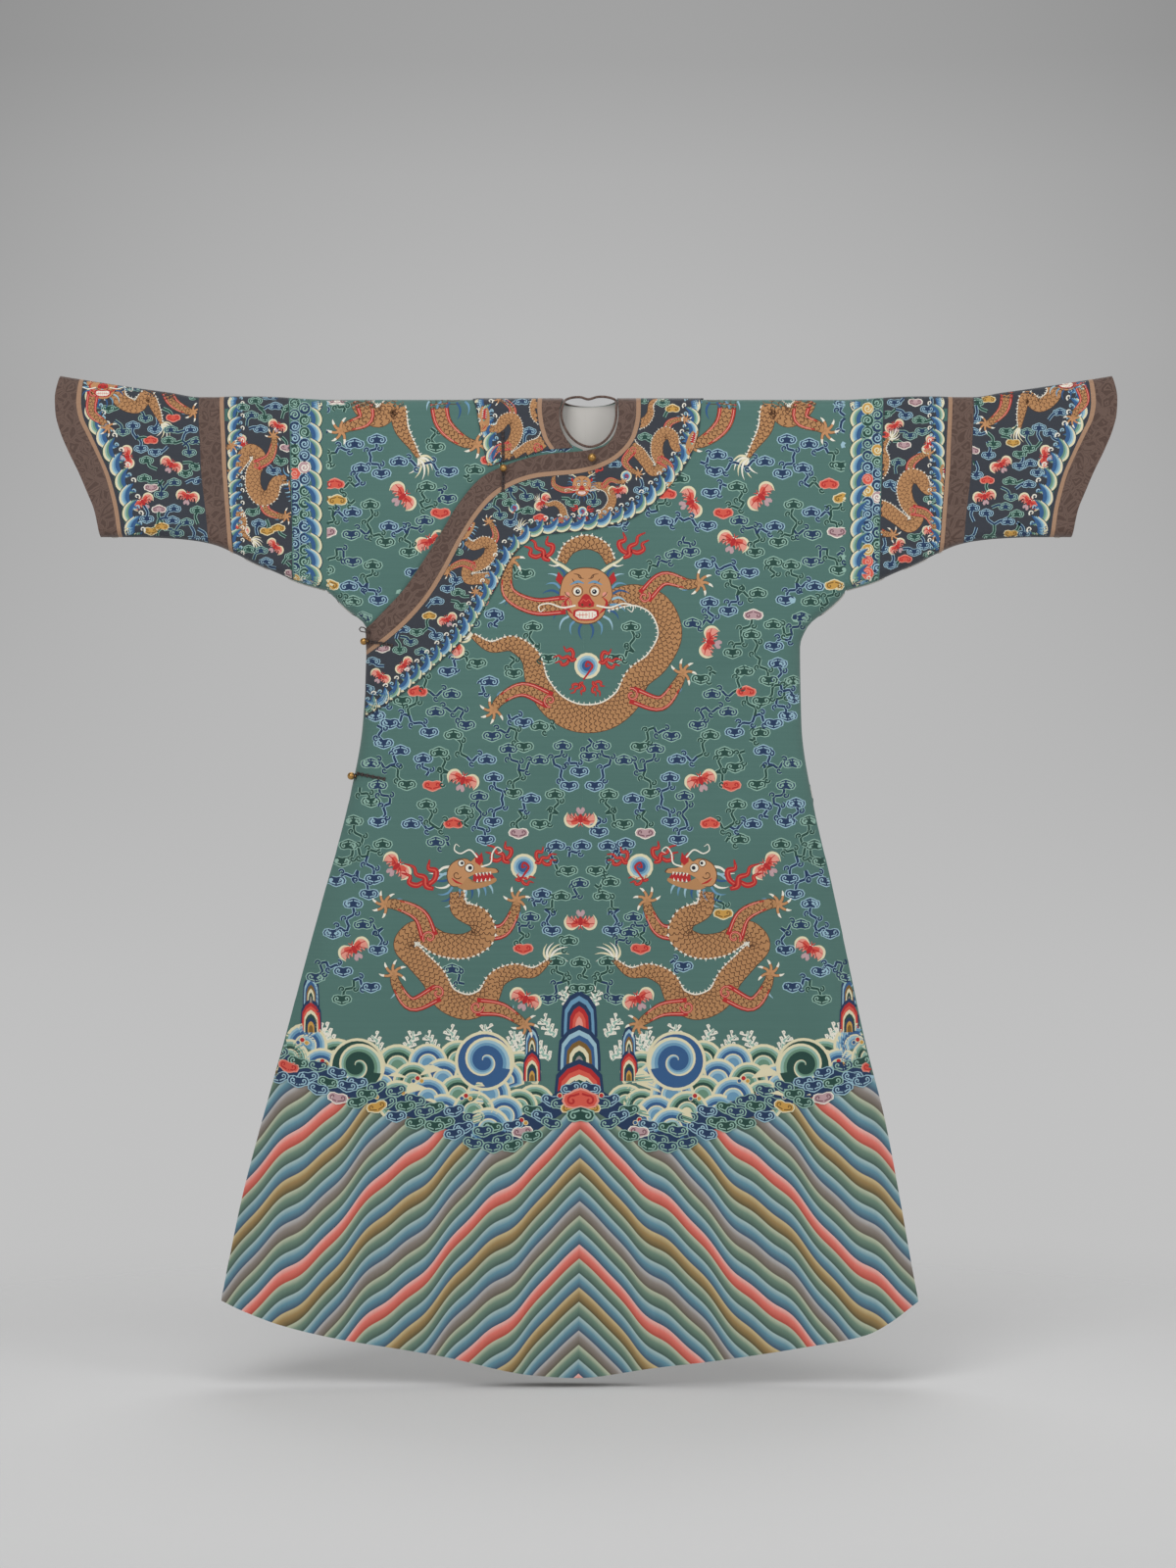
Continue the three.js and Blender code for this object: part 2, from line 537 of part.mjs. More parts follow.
// A stretch of sleeve between two seams, round in section.
function sleeveStretch(sign, fromSeam, toSeam, steps) {
  const seams = (name) => (name === "armhole" ? () => ARMHOLE_REACH : smooth(SLEEVE_SEAMS, "down", name));
  const [from, to] = [seams(fromSeam), seams(toSeam)];
  const down = shares(240, 4, { start: FOLD_RADIUS, end: FOLD_RADIUS, steps: 4 });
  const ring = [
    ...down.map((share) => ({ share, skinAt: frontSkin })),
    ...down.slice(1, -1).reverse().map((share) => ({ share, skinAt: backSkin })),
  ];
  const grid = ring.map(({ share, skinAt }) => Array.from({ length: steps + 1 }, (_, i) => {
    const column = sign > 0 ? i / steps : 1 - i / steps;
    const reach = lerp(from(share) + SEAM / 2, to(share) - SEAM / 2, column);
    const x = sign * reach;
    const z = lerp(sleeveRise(reach), -sleeveDrop(reach), share);
    const point = skinAt(x, z);
    if (share === 0 || share === 1) point.at.y = 0;
    return point;
  }));
  return clothWall(grid, () => 0, CLOTH, true);
}

// The rolled binding: a closed ring of round sections along the neck hole.
function neckBinding() {
  const path = NECK_HOLE.map(({ x, z, side }) => {
    if (side < 0) {
      const { at, out } = frontSkin(x, z);
      return at.addScaledVector(out, overlapLift(x) * 0.5);
    }
    return new THREE.Vector3(x, side > 0 ? BINDING_BACK : 0, z);
  });
  const curve = new THREE.CatmullRomCurve3(path, true, "centripetal");
  return closedTube(curve, BINDING_RADIUS, 36, 5);
}

// A closed loop of round section along a closed curve.
function closedTube(curve, radius, steps, sides) {
  const frames = curve.computeFrenetFrames(steps, true);
  const positions = [];
  const triangles = [];
  for (let i = 0; i < steps; i++) {
    const centre = curve.getPointAt(i / steps);
    for (let j = 0; j < sides; j++) {
      const angle = (j / sides) * Math.PI * 2;
      const p = centre.clone()
        .addScaledVector(frames.normals[i], radius * Math.cos(angle))
        .addScaledVector(frames.binormals[i], radius * Math.sin(angle));
      positions.push(p.x, p.y, p.z);
      const a = i * sides + j;
      const b = i * sides + ((j + 1) % sides);
      const c = ((i + 1) % steps) * sides + ((j + 1) % sides);
      const d = ((i + 1) % steps) * sides + j;
      triangles.push(a, b, c, a, c, d);
    }
  }
  const geometry = new THREE.BufferGeometry();
  geometry.setAttribute("position", new THREE.Float32BufferAttribute(positions, 3));
  geometry.setIndex(triangles);
  geometry.computeVertexNormals();
  return geometry;
}

// Ball buttons on short necks, each in a cord loop, and the knotted strips that are sewn down beside them.
const BUTTON_NECK = { radius: 1.3, length: 2.6, gap: 0.3 };
const LOOP_CORD = 1.1;
const LOOP_GAP = 0.35;
const STRIP = { thick: 1.8, halfWidth: 2.5, gap: 0.4, stepsPerKnot: 2 };

// A body turned about the Y axis, from one point on the axis up to another.
function turned(profile, sides) {
  const rings = profile.slice(1, -1);
  const positions = [0, profile[0][1], 0];
  const triangles = [];
  for (const [radius, y] of rings) {
    for (let j = 0; j < sides; j++) {
      const angle = (j / sides) * Math.PI * 2;
      positions.push(radius * Math.cos(angle), y, -radius * Math.sin(angle));
    }
  }
  positions.push(0, profile[profile.length - 1][1], 0);
  const at = (i, j) => 1 + i * sides + (j % sides);
  const top = 1 + rings.length * sides;
  for (let j = 0; j < sides; j++) {
    triangles.push(0, at(0, j + 1), at(0, j));
    triangles.push(top, at(rings.length - 1, j), at(rings.length - 1, j + 1));
    for (let i = 0; i < rings.length - 1; i++) {
      triangles.push(at(i, j), at(i, j + 1), at(i + 1, j + 1), at(i, j), at(i + 1, j + 1), at(i + 1, j));
    }
  }
  const geometry = new THREE.BufferGeometry();
  geometry.setAttribute("position", new THREE.Float32BufferAttribute(positions, 3));
  geometry.setIndex(triangles);
  geometry.computeVertexNormals();
  return geometry;
}

function ballShape(radius) {
  const profile = [[0, -radius]];
  for (let i = 1; i < 7; i++) {
    const angle = -Math.PI / 2 + (i / 7) * Math.PI * 0.93;
    profile.push([radius * Math.cos(angle), radius * Math.sin(angle)]);
  }
  const end = radius + BUTTON_NECK.length;
  return turned([...profile, [BUTTON_NECK.radius, radius * 0.97], [BUTTON_NECK.radius, end], [0, end]], 10);
}

const UP = new THREE.Vector3(0, 1, 0);

// A ball button whose neck points along the given direction, with its loop round the neck.
function addButton(name, radius, centre, direction) {
  const turn = new THREE.Quaternion().setFromUnitVectors(UP, direction);
  const ball = add(`button_${name}`, ballShape(radius), silk.brass);
  ball.position.copy(centre);
  ball.quaternion.copy(turn);
  const loop = new THREE.TorusGeometry(BUTTON_NECK.radius + LOOP_CORD + LOOP_GAP, LOOP_CORD, 5, 10);
  loop.rotateX(Math.PI / 2);
  const ring = add(`loop_${name}`, loop, silk.cord);
  ring.position.copy(centre).addScaledVector(direction, radius + LOOP_CORD + LOOP_GAP);
  ring.quaternion.copy(turn);
}

// A strip of knots sewn down on a skin, from one place to another, a gap above the level it lies on.
function knottedStrip(skinAt, from, to, level, knots) {
  const steps = knots * STRIP.stepsPerKnot;
  const run = new THREE.Vector2(to[0] - from[0], to[1] - from[1]).normalize();
  const grid = [1, 0, -1].map((edge) => Array.from({ length: steps + 1 }, (_, i) => {
    const wide = STRIP.halfWidth * (i % 2 ? 1 : 0.72);
    const x = lerp(from[0], to[0], i / steps) - run.y * edge * wide;
    const z = lerp(from[1], to[1], i / steps) + run.x * edge * wide;
    return skinAt(x, z);
  }));
  const lift = (x, z) => level(x, z) + STRIP.gap + STRIP.thick;
  return clothWall(skinAt === backSkin ? grid.reverse() : grid, lift, STRIP.thick);
}

// Buttons that lie on the cloth, neck inwards. The level is what they lie on.
const CLOTH_BUTTONS = [
  { name: "neck", radius: 6, x: 8.4, z: -86 },
  { name: "shoulder", radius: 5.3, x: -119.3, z: -101 },
];
// Buttons that stand just outside the right side, where the front meets the back.
const SIDE_BUTTONS = [
  { name: "underarm", radius: 5.3, x: -321.2, y: -12.9, z: -350.5, outward: [0.8, -0.6] },
  { name: "side", radius: 5.5, x: -339.7, y: -9.2, z: -545, outward: [0.85, -0.52] },
];
const onOverlap = () => OVERLAP_LIFT;
const onCloth = () => 0;
const STRIPS = [
  { name: "neck", skinAt: frontSkin, from: [7.3, -75.5], to: [7.9, -81.3], level: onPanel, knots: 1 },
  { name: "shoulder_upper", skinAt: frontSkin, from: [-120.4, -48], to: [-119.6, -89.5], level: overUnder, knots: 6 },
  { name: "shoulder_lower", skinAt: frontSkin, from: [-119.5, -107], to: [-120, -133], level: onPanel, knots: 4 },
  { name: "underarm_front", skinAt: frontSkin, from: [-307.6, -350.5], to: [-280, -357], level: onPanel, knots: 4 },
  { name: "underarm_back", skinAt: backSkin, from: [-306, -351], to: [-280, -355], level: onCloth, knots: 4 },
  { name: "side_front", skinAt: frontSkin, from: [-327.6, -542], to: [-291, -549.5], level: onOverlap, knots: 5 },
  { name: "side_back", skinAt: backSkin, from: [-324, -543], to: [-294, -548], level: onCloth, knots: 4 },
];

// The spare loop at the underarm, open, with its two tails on the damask.
const SPARE_LOOP = { cord: 0.9, tails: [[-309, -335.6], [-309.6, -338.2]] };
const SPARE_LOOP_ROUND = [
  { x: -316, y: -18.8, z: -334.6 },
  { x: -321, y: -16.5, z: -330.5 },
  { x: -325.5, y: -15.5, z: -330 },
  { x: -327.6, y: -15.5, z: -333 },
  { x: -325.5, y: -15.5, z: -336 },
  { x: -321, y: -16.5, z: -337 },
  { x: -316, y: -18.8, z: -337.6 },
];
function spareLoop() {
  const onDamask = ([x, z]) => {
    const { at, out } = frontSkin(x, z);
    return at.addScaledVector(out, onPanel(x) + STRIP.gap + SPARE_LOOP.cord);
  };
  const [upper, lower] = SPARE_LOOP.tails.map(onDamask);
  const round = SPARE_LOOP_ROUND.map(({ x, y, z }) => new THREE.Vector3(x, y, z));
  const curve = new THREE.CatmullRomCurve3([upper, ...round, lower], true, "centripetal");
  return closedTube(curve, SPARE_LOOP.cord, 22, 5);
}

const robe = new THREE.Group();
function add(name, geometry, look) {
  const mesh = new THREE.Mesh(geometry, look);
  mesh.name = name;
  robe.add(mesh);
  return mesh;
}

add("front_left", frontLeft(), silk.green);
add("front_overlap", frontOverlap(), silk.green);
add("front_under", frontUnder(), silk.green);
add("back_left", backPanel(1), silk.green);
add("back_right", backPanel(-1), silk.green);

const ACROSS_DAMASK = [0, 0.5, 1];
const ACROSS_BORDER = [0, 0.33, 0.67, 1];
add("neck_damask", borderStrip(NECK_BORDER, "damask", NECK_ALONG, ACROSS_DAMASK, onPanel), silk.damask);
add("neck_tan", borderStrip(NECK_BORDER, "tan", NECK_ALONG, [0, 1], onPanel), silk.tan);
add("neck_border", borderStrip(NECK_BORDER, "border", NECK_ALONG, ACROSS_BORDER, onPanel), silk.navy);
add("under_damask", borderStrip(UNDER_BORDER, "damask", UNDER_ALONG, ACROSS_DAMASK, overUnder), silk.damask);
add("under_tan", borderStrip(UNDER_BORDER, "tan", UNDER_ALONG, [0, 1], overUnder), silk.tan);
add("under_border", borderStrip(UNDER_BORDER, "border", UNDER_ALONG, ACROSS_BORDER, overUnder), silk.navy);
add("back_damask", backStrip(BACK_NECK, inward(BACK_TAN, TAN_WIDTH + SEAM), 0, ACROSS_DAMASK), silk.damask);
add("back_tan", backStrip(inward(BACK_TAN, TAN_WIDTH), BACK_TAN, 0, [0, 1]), silk.tan);
add("back_border", backStrip(BACK_TAN, BACK_BORDER, SEAM, ACROSS_BORDER), silk.navy);
add("neck_binding", neckBinding(), silk.damask);

for (const [side, sign] of [["left", 1], ["right", -1]]) {
  add(`sleeve_${side}`, sleeveStretch(sign, "armhole", "border", 2), silk.green);
  add(`sleeve_band_${side}`, sleeveStretch(sign, "border", "tan", 3), silk.navy);
  add(`sleeve_tan_${side}`, sleeveStretch(sign, "tan", "damask", 1), silk.tan);
  add(`sleeve_damask_${side}`, sleeveStretch(sign, "damask", "cuff", 1), silk.damask);
  add(`cuff_${side}`, sleeveStretch(sign, "cuff", "hoofTan", 3), silk.navy);
  add(`cuff_tan_${side}`, sleeveStretch(sign, "hoofTan", "hoof", 1), silk.tan);
  add(`cuff_hoof_${side}`, sleeveStretch(sign, "hoof", "end", 2), silk.damask);
}

for (const { name, radius, x, z } of CLOTH_BUTTONS) {
  const { at, out } = frontSkin(x, z);
  const height = onPanel(x) + BUTTON_NECK.gap + BUTTON_NECK.length + radius;
  addButton(name, radius, at.addScaledVector(out, height), out.clone().negate());
}
for (const { name, radius, x, y, z, outward } of SIDE_BUTTONS) {
  addButton(name, radius, new THREE.Vector3(x, y, z), new THREE.Vector3(outward[0], outward[1], 0).normalize());
}
for (const { name, skinAt, from, to, level, knots } of STRIPS) {
  add(`strip_${name}`, knottedStrip(skinAt, from, to, level, knots), silk.cord);
}
add("loop_spare", spareLoop(), silk.cord);

export default robe;
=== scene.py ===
# A festival robe of woven silk, hung spread out. The shapes are in millimetres, in the same frame as the
# solids: x to the wearer's left, z up, and the front faces -y. Only finished meshes are in metres.

import math

import bpy
import numpy as np
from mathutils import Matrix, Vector


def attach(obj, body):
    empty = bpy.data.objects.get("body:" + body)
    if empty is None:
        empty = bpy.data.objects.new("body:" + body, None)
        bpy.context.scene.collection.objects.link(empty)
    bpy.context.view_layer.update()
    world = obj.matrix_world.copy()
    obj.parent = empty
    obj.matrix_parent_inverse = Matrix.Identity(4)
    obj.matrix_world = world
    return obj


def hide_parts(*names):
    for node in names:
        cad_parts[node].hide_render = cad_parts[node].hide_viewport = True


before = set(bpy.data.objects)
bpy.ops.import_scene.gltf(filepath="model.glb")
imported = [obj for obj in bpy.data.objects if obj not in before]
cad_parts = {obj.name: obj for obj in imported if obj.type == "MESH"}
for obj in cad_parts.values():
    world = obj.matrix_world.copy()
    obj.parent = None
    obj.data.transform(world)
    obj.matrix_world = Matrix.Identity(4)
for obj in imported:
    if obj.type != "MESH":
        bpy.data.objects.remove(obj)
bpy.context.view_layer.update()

MM = 0.001

# Cloth and layers
CLOTH = 1.6
BAND = 1.2
SEAM = 0.3
MEET = 0.02  # half the gap that shows where two pieces are sewn edge to edge
LAYER_GAP = 0.6
OVERLAP_LIFT = 2.6
LIFT_FADES = 60
UNDER_DEEPER = 2.5

# Hang of the cloth
SLEEVE_HALF_DEPTH = 13
SHOULDER_HALF_DEPTH, WAIST_HALF_DEPTH, HEM_HALF_DEPTH = 15, 19, 26
WAIST_DROP = 600
FOLD_RADIUS = 13
SIDE_ROUND = 40
SLIT_DROP = 557
SLIT_GAPE = 9
ARMHOLE_REACH = 377
UNDERARM_DROP = 276  # where the sleeve's lower edge meets the side
CLOSING_DROP = 331  # where the closing edge meets the right side
MIDDLE_NECK_DROP = 75  # where the middle seam starts in front
SLEEVE_END = 770
SKIRT_LENGTH = 1400  # over which the middle seam leans by 10
SIDE_LENGTH = 1303
HEM_FROM = 0.62
UNDER_SHORTER = 2
TAN_WIDTH = 6.5


def columns(names, *rows):
    """A short table as one array a column."""
    return dict(zip(names.split(), np.array(rows, float).T))


SIDES = columns(
    "drop right left",
    (275, -377, 377), (287, -364, 369), (301, -350, 354), (329, -319, 321), (358, -315, 310),
    (470, -321, 312), (585, -342, 329), (700, -374, 355), (812, -405, 379), (925, -435, 403),
    (1040, -467, 432), (1155, -497, 454), (1267, -520, 474), (1303, -527, 481),
)
HEM = columns(
    "x drop",
    (-527, 1303), (-440, 1336), (-350, 1358), (-200, 1383), (-75, 1409),
    (-11, 1413), (105, 1398), (300, 1372), (400, 1352), (481, 1305),
)
SLEEVE_EDGES = columns(
    "reach rise drop",
    (377, 0, 276), (415, 2, 265), (447, 4, 251), (480, 5, 237), (508, 5, 223), (536, 4, 211),
    (562, 4, 205), (600, 10, 201), (650, 17, 199), (703, 25, 199), (770, 36, 199),
)
SLEEVE_SEAMS = columns(
    "down border tan damask cuff hoof_tan hoof end",
    (0, 430, 524, 530, 560, 727, 733, 761), (0.15, 429, 523, 529, 560, 730, 737, 768),
    (0.24, 428, 522, 528, 559, 727, 734, 767), (0.34, 428, 521, 527, 558, 716, 723, 761),
    (0.47, 427, 520, 526, 557, 702, 708, 748), (0.59, 426, 518, 524, 555, 690, 696, 734),
    (0.71, 425, 516, 522, 552, 682, 688, 722), (0.83, 425, 514, 520, 549, 676, 682, 711),
    (1, 424, 511, 517, 546, 671, 677, 703),
)
NECK_BORDER = columns(
    "in_x in_z tan_x tan_z out_x out_z",
    (46, 0, 79, 0, 166, 0), (46.6, -13, 79, -13, 165.7, -13), (47, -25, 78, -30, 163, -45),
    (40, -53, 69, -60, 150, -85), (27, -68, 47, -85, 118, -130), (7, -74, 20, -100, 70, -171),
    (-17, -77, -10, -108, 12, -189), (-45, -79, -41, -111, -35, -194), (-80, -85, -75, -115, -72, -200),
    (-117, -97, -103, -124, -95, -216), (-152, -115, -130, -140, -112, -238),
    (-184, -152, -153, -164, -127, -268), (-210, -195, -178, -202, -146, -301),
    (-237, -238, -203, -249, -172, -343), (-264, -277, -229, -290, -206, -376),
    (-291, -306, -266, -331, -254, -418), (-315, -331, -314, -370, -317, -461),
)
UNDER_BORDER = columns(
    "in_x in_z tan_x tan_z out_x out_z",
    (-33, 0, -70, 0, -164, 0), (-37.5, -13, -70.5, -13, -159, -13), (-38.5, -25, -69.5, -26, -156, -29),
    (-37, -40, -67, -40, -153, -46), (-29, -57, -61, -59, -148, -72), (-19, -71, -52, -73, -142, -98),
)
NECK_EDGE = columns(
    "drop left right",
    (0, 46, -33), (25, 47, -39), (46, 43, -35), (60, 34, -27), (71, 16, -14), (75, -0.7, -1),
)
BACK_MIDDLE = 5
# Half width and drop of each half ring at the back of the neck
BACK_RINGS = {"neck": (40, 9), "tan": (74, 43), "border": (165, 118)}

# Long soft folds: where each starts, its middle there and at the hem, its width and its height.
FRONT_FOLDS = columns(
    "start top hem width rise",
    (300, -250, -430, 62, 4), (420, -170, -285, 55, -4), (520, -75, -140, 58, 4), (480, 20, 40, 60, -4),
    (380, 120, 180, 56, 5), (440, 200, 320, 52, -4), (300, 250, 420, 44, 5),
)
BACK_FOLDS = columns(
    "start top hem width rise",
    (320, -230, -400, 60, 5), (460, -120, -230, 58, -4), (400, -20, -60, 64, 5), (430, 90, 130, 56, -5),
    (350, 190, 290, 58, 4),
)
# Short slack folds from the underarms towards the chest
SLACK = {"reach": 300, "drop": 335, "length": 190, "width": 24, "rise": 3.5, "slopes": (0.25, 0.75, 1.4)}
# Creases pressed and hung into the cloth: from, to, width and height.
FRONT_CREASES = columns(
    "x z to_x to_z width rise",
    (150, -250, 330, -215, 16, -1.6), (250, -150, 420, -190, 20, 1.5), (-180, -60, -330, -110, 22, -1.4),
    (-240, -150, -400, -180, 18, 1.3), (90, -420, 210, -640, 15, -1.4), (-250, -620, -300, -900, 14, 1.5),
    (240, -600, 330, -1000, 13, -1.5), (-110, -700, -160, -1080, 14, -1.4), (60, -820, 80, -1250, 15, 1.6),
    (-330, -900, -420, -1240, 13, -1.6), (380, -1000, 430, -1280, 12, 1.5),
    (140, -960, 190, -1330, 12, -1.3), (-40, -300, -150, -560, 18, 1.2), (590, -40, 700, -90, 18, 1.2),
    (-610, -50, -690, -110, 18, -1.2), (470, -60, 480, -190, 12, -1.0), (-480, -70, -470, -200, 12, 1.0),
)
BACK_CREASES = columns(
    "x z to_x to_z width rise",
    (-120, -180, -330, -230, 20, -1.6), (130, -170, 340, -215, 20, -1.5), (40, -300, 90, -700, 18, 1.5),
    (-150, -420, -210, -820, 16, -1.5), (230, -560, 310, -960, 15, 1.6), (-300, -700, -380, -1120, 15, 1.5),
    (-60, -800, -90, -1220, 16, -1.4), (140, -900, 190, -1300, 14, -1.5), (360, -950, 420, -1260, 13, 1.4),
    (600, -50, 690, -120, 18, 1.2), (-600, -60, -700, -100, 18, -1.2),
)


def hermite(a, b, run_a, run_b, t):
    """A cubic from a to b. run_a and run_b are its slopes there, times the span's length."""
    return (a * (1 + 2 * t) * (1 - t) ** 2 + b * t**2 * (3 - 2 * t)
            + run_a * t * (1 - t) ** 2 - run_b * t**2 * (1 - t))


def smooth(table, key, value):
    """One column of a table as a smooth function of a rising one, with no overshoot."""
    xs, ys = table[key], table[value]
    slopes = np.diff(ys) / np.diff(xs)
    inner = np.where(slopes[:-1] * slopes[1:] > 0, 2 * slopes[:-1] * slopes[1:], 0)
    tangents = np.r_[slopes[0], inner / np.where(inner == 0, 1, slopes[:-1] + slopes[1:]), slopes[-1]]

    def at(x):
        x = np.clip(x, xs[0], xs[-1])
        i = np.clip(np.searchsorted(xs, x, "right") - 1, 0, len(xs) - 2)
        h = xs[i + 1] - xs[i]
        return hermite(ys[i], ys[i + 1], h * tangents[i], h * tangents[i + 1], (x - xs[i]) / h)

    return at


def smoothstep(low, high, t):
    s = np.clip((t - low) / (high - low), 0, 1)
    return s * s * (3 - 2 * s)


def lerp(a, b, t):
    return a + (b - a) * t


right_side = smooth(SIDES, "drop", "right")
left_side = smooth(SIDES, "drop", "left")
hem_drop = smooth(HEM, "x", "drop")
sleeve_rise = smooth(SLEEVE_EDGES, "reach", "rise")
sleeve_drop = smooth(SLEEVE_EDGES, "reach", "drop")
neck_left = smooth(NECK_EDGE, "drop", "left")
neck_right = smooth(NECK_EDGE, "drop", "right")
closing_x = NECK_BORDER["in_x"][5:][::-1]
closing_edge = smooth({"x": closing_x, "z": NECK_BORDER["in_z"][5:][::-1]}, "x", "z")


def seam_x(z):
    return lerp(-1, -11, np.clip(-z / SKIRT_LENGTH, 0, 1))


def closed_edge(sign, side_at):
    reach = np.arange(SLEEVE_END, ARMHOLE_REACH, -12)
    drop = np.append(np.arange(UNDERARM_DROP, SIDE_LENGTH + 1, 6), SIDE_LENGTH)
    sleeve = np.c_[sign * reach, -sleeve_drop(reach)]
    side = np.c_[side_at(drop), -drop]
    return np.vstack([sleeve, side, [side_at(SIDE_LENGTH), -SIDE_LENGTH - 60]])


EDGES = {-1: closed_edge(-1, right_side), 1: closed_edge(1, left_side)}


def edge_distance(x, z):
    """Distance to the closed lower edge of a sleeve and side, and its direction."""
    least = np.full(x.shape, np.inf)
    away = np.zeros(x.shape + (2,))
    for sign, edge in EDGES.items():
        mine = (x < 0) if sign < 0 else (x >= 0)
        a, run = edge[:-1], np.diff(edge, axis=0)
        for chunk in np.array_split(np.flatnonzero(mine), max(1, mine.sum() // 4000)):
            p = np.c_[x[chunk], z[chunk]][:, None, :]
            t = np.clip(((p - a) * run).sum(-1) / (run**2).sum(-1), 0, 1)
            gap = p - (a + t[..., None] * run)
            distance = np.hypot(gap[..., 0], gap[..., 1])
            nearest = distance.argmin(1)
            rows = np.arange(len(chunk))
            least[chunk] = distance[rows, nearest]
            away[chunk] = gap[rows, nearest] / np.maximum(least[chunk], 1e-6)[:, None]
    past_sleeve = (-z < UNDERARM_DROP) & (abs(x) > ARMHOLE_REACH) & (-z > sleeve_drop(abs(x)))
    past_side = (-z >= UNDERARM_DROP) & ((x < right_side(-z)) | (x > left_side(-z)))
    least[past_sleeve | past_side] = 0
    return np.maximum(0, least - SEAM), away


def round_off(t):
    return np.sqrt(1 - (1 - np.clip(t, 0, 1)) ** 2)


class Skin:
    """The outer face of the cloth on one side of the robe. face is -1 in front and 1 behind."""

    def __init__(self, face, folds, slack_sides, creases):
        self.face, self.folds, self.slack_sides, self.creases = face, folds, slack_sides, creases

    def ripples(self, x, z):
        f, total = self.folds, np.zeros_like(x)
        for start, top, hem, width, rise in zip(f["start"], f["top"], f["hem"], f["width"], f["rise"]):
            middle = lerp(top, hem, np.clip((-z - start) / (SIDE_LENGTH - start), 0, 1))
            total += rise * smoothstep(start, SIDE_LENGTH, -z) * np.exp(-(((x - middle) / width) ** 2))
        away, fall = SLACK["reach"] - abs(x), -z - SLACK["drop"]
        along = np.hypot(away, fall)
        fades = smoothstep(0, 40, along) * (1 - smoothstep(SLACK["length"] * 0.35, SLACK["length"], along))
        fades = fades * (away > 0) * np.isin(np.sign(x), self.slack_sides)
        for i, slope in enumerate(SLACK["slopes"]):
            across = (fall - slope * away) / math.hypot(1, slope)
            rise = (-1 if i % 2 else 1) * SLACK["rise"]
            total += rise * fades * np.exp(-((across / SLACK["width"]) ** 2))
        return total + self.creased(x, z)

    def creased(self, x, z):
        total = np.zeros_like(x)
        for ax, az, bx, bz, width, rise in zip(*self.creases.values()):
            run = np.array([bx - ax, bz - az])
            t = ((x - ax) * run[0] + (z - az) * run[1]) / (run @ run)
            off = ((x - ax) * run[1] - (z - az) * run[0]) / math.sqrt(run @ run)
            bow = off - 7 * np.sin(np.clip(t, 0, 1) * math.pi)
            starts, ends = smoothstep(-0.1, 0.3, t), 1 - smoothstep(0.7, 1.1, t)
            total += rise * np.exp(-((bow / width) ** 2)) * starts * ends
        return total

    def depth(self, x, z, side):
        on_sleeve = smoothstep(ARMHOLE_REACH - 90, ARMHOLE_REACH, abs(x)) * (1 - smoothstep(240, 340, -z))
        upper = lerp(SHOULDER_HALF_DEPTH, WAIST_HALF_DEPTH, smoothstep(0, WAIST_DROP, -z))
        lower = lerp(WAIST_HALF_DEPTH, HEM_HALF_DEPTH, smoothstep(WAIST_DROP, SIDE_LENGTH, -z))
        full = lerp(np.where(-z < WAIST_DROP, upper, lower), SLEEVE_HALF_DEPTH, on_sleeve)
        side_round = lerp(FOLD_RADIUS, SIDE_ROUND, smoothstep(260, 460, -z))
        top = np.where(abs(x) > ARMHOLE_REACH, sleeve_rise(abs(x)), 0)
        opened = smoothstep(SLIT_DROP - 30, SLIT_DROP + 120, -z)
        share = np.clip(side / side_round, 0, 1)
        closing = lerp(round_off(share), np.sin(share * math.pi / 2), opened)
        closing = closing * round_off(np.maximum(0, top - z) / FOLD_RADIUS)
        gape = SLIT_GAPE * np.sqrt(np.clip((-z - SLIT_DROP) / (SIDE_LENGTH - SLIT_DROP), 0, 1))
        return gape + (full - gape) * closing + self.ripples(x, z) * smoothstep(0.2, 1, closing)

    def points(self, x, z, lift=0.0, thickness=0.0):
        """Points a lift above the skin, less a thickness, in metres."""
        x, z = np.broadcast_arrays(np.asarray(x, float), np.asarray(z, float))
        shape, x, z = x.shape, x.ravel(), z.ravel()
        side, away = edge_distance(x, z)
        depth, step = self.depth(x, z, side), 0.6
        slope = []
        for dx, dz in ((step, 0), (0, step)):
            turn = away @ np.array([dx, dz])
            ahead = self.depth(x + dx, z + dz, np.maximum(0, side + turn))
            behind = self.depth(x - dx, z - dz, np.maximum(0, side - turn))
            slope.append((ahead - behind) / (2 * step))
        out = np.c_[-slope[0], np.full(x.size, float(self.face)), -slope[1]]
        out /= np.linalg.norm(out, axis=1)[:, None]
        most = np.clip(depth / CLOTH, 0, 1)
        level = np.maximum(np.hypot(out[:, 0], out[:, 2]), 1e-6)
        turned = np.c_[out[:, 0] / level * np.sqrt(1 - most**2), self.face * most,
                       out[:, 2] / level * np.sqrt(1 - most**2)]
        out = np.where((abs(out[:, 1]) > most)[:, None], turned, out)
        at = np.c_[x, self.face * (depth + SEAM / 2), z]
        raised = np.broadcast_to(np.asarray(lift, float), shape).ravel() - thickness
        return ((at + out * raised[:, None]) * MM).reshape(shape + (3,))


front = Skin(-1, FRONT_FOLDS, (1,), FRONT_CREASES)
back = Skin(1, BACK_FOLDS, (-1, 1), BACK_CREASES)


def overlap_lift(x):
    return OVERLAP_LIFT * (1 - smoothstep(0, LIFT_FADES, x))


# Materials

def silk_colour(red, green, blue):
    """A colour given as it looks on a screen, from 0 to 255."""
    shares = (red / 255, green / 255, blue / 255)
    return (*[((c + 0.055) / 1.055) ** 2.4 if c > 10 / 255 else c / 12.92 for c in shares], 1)


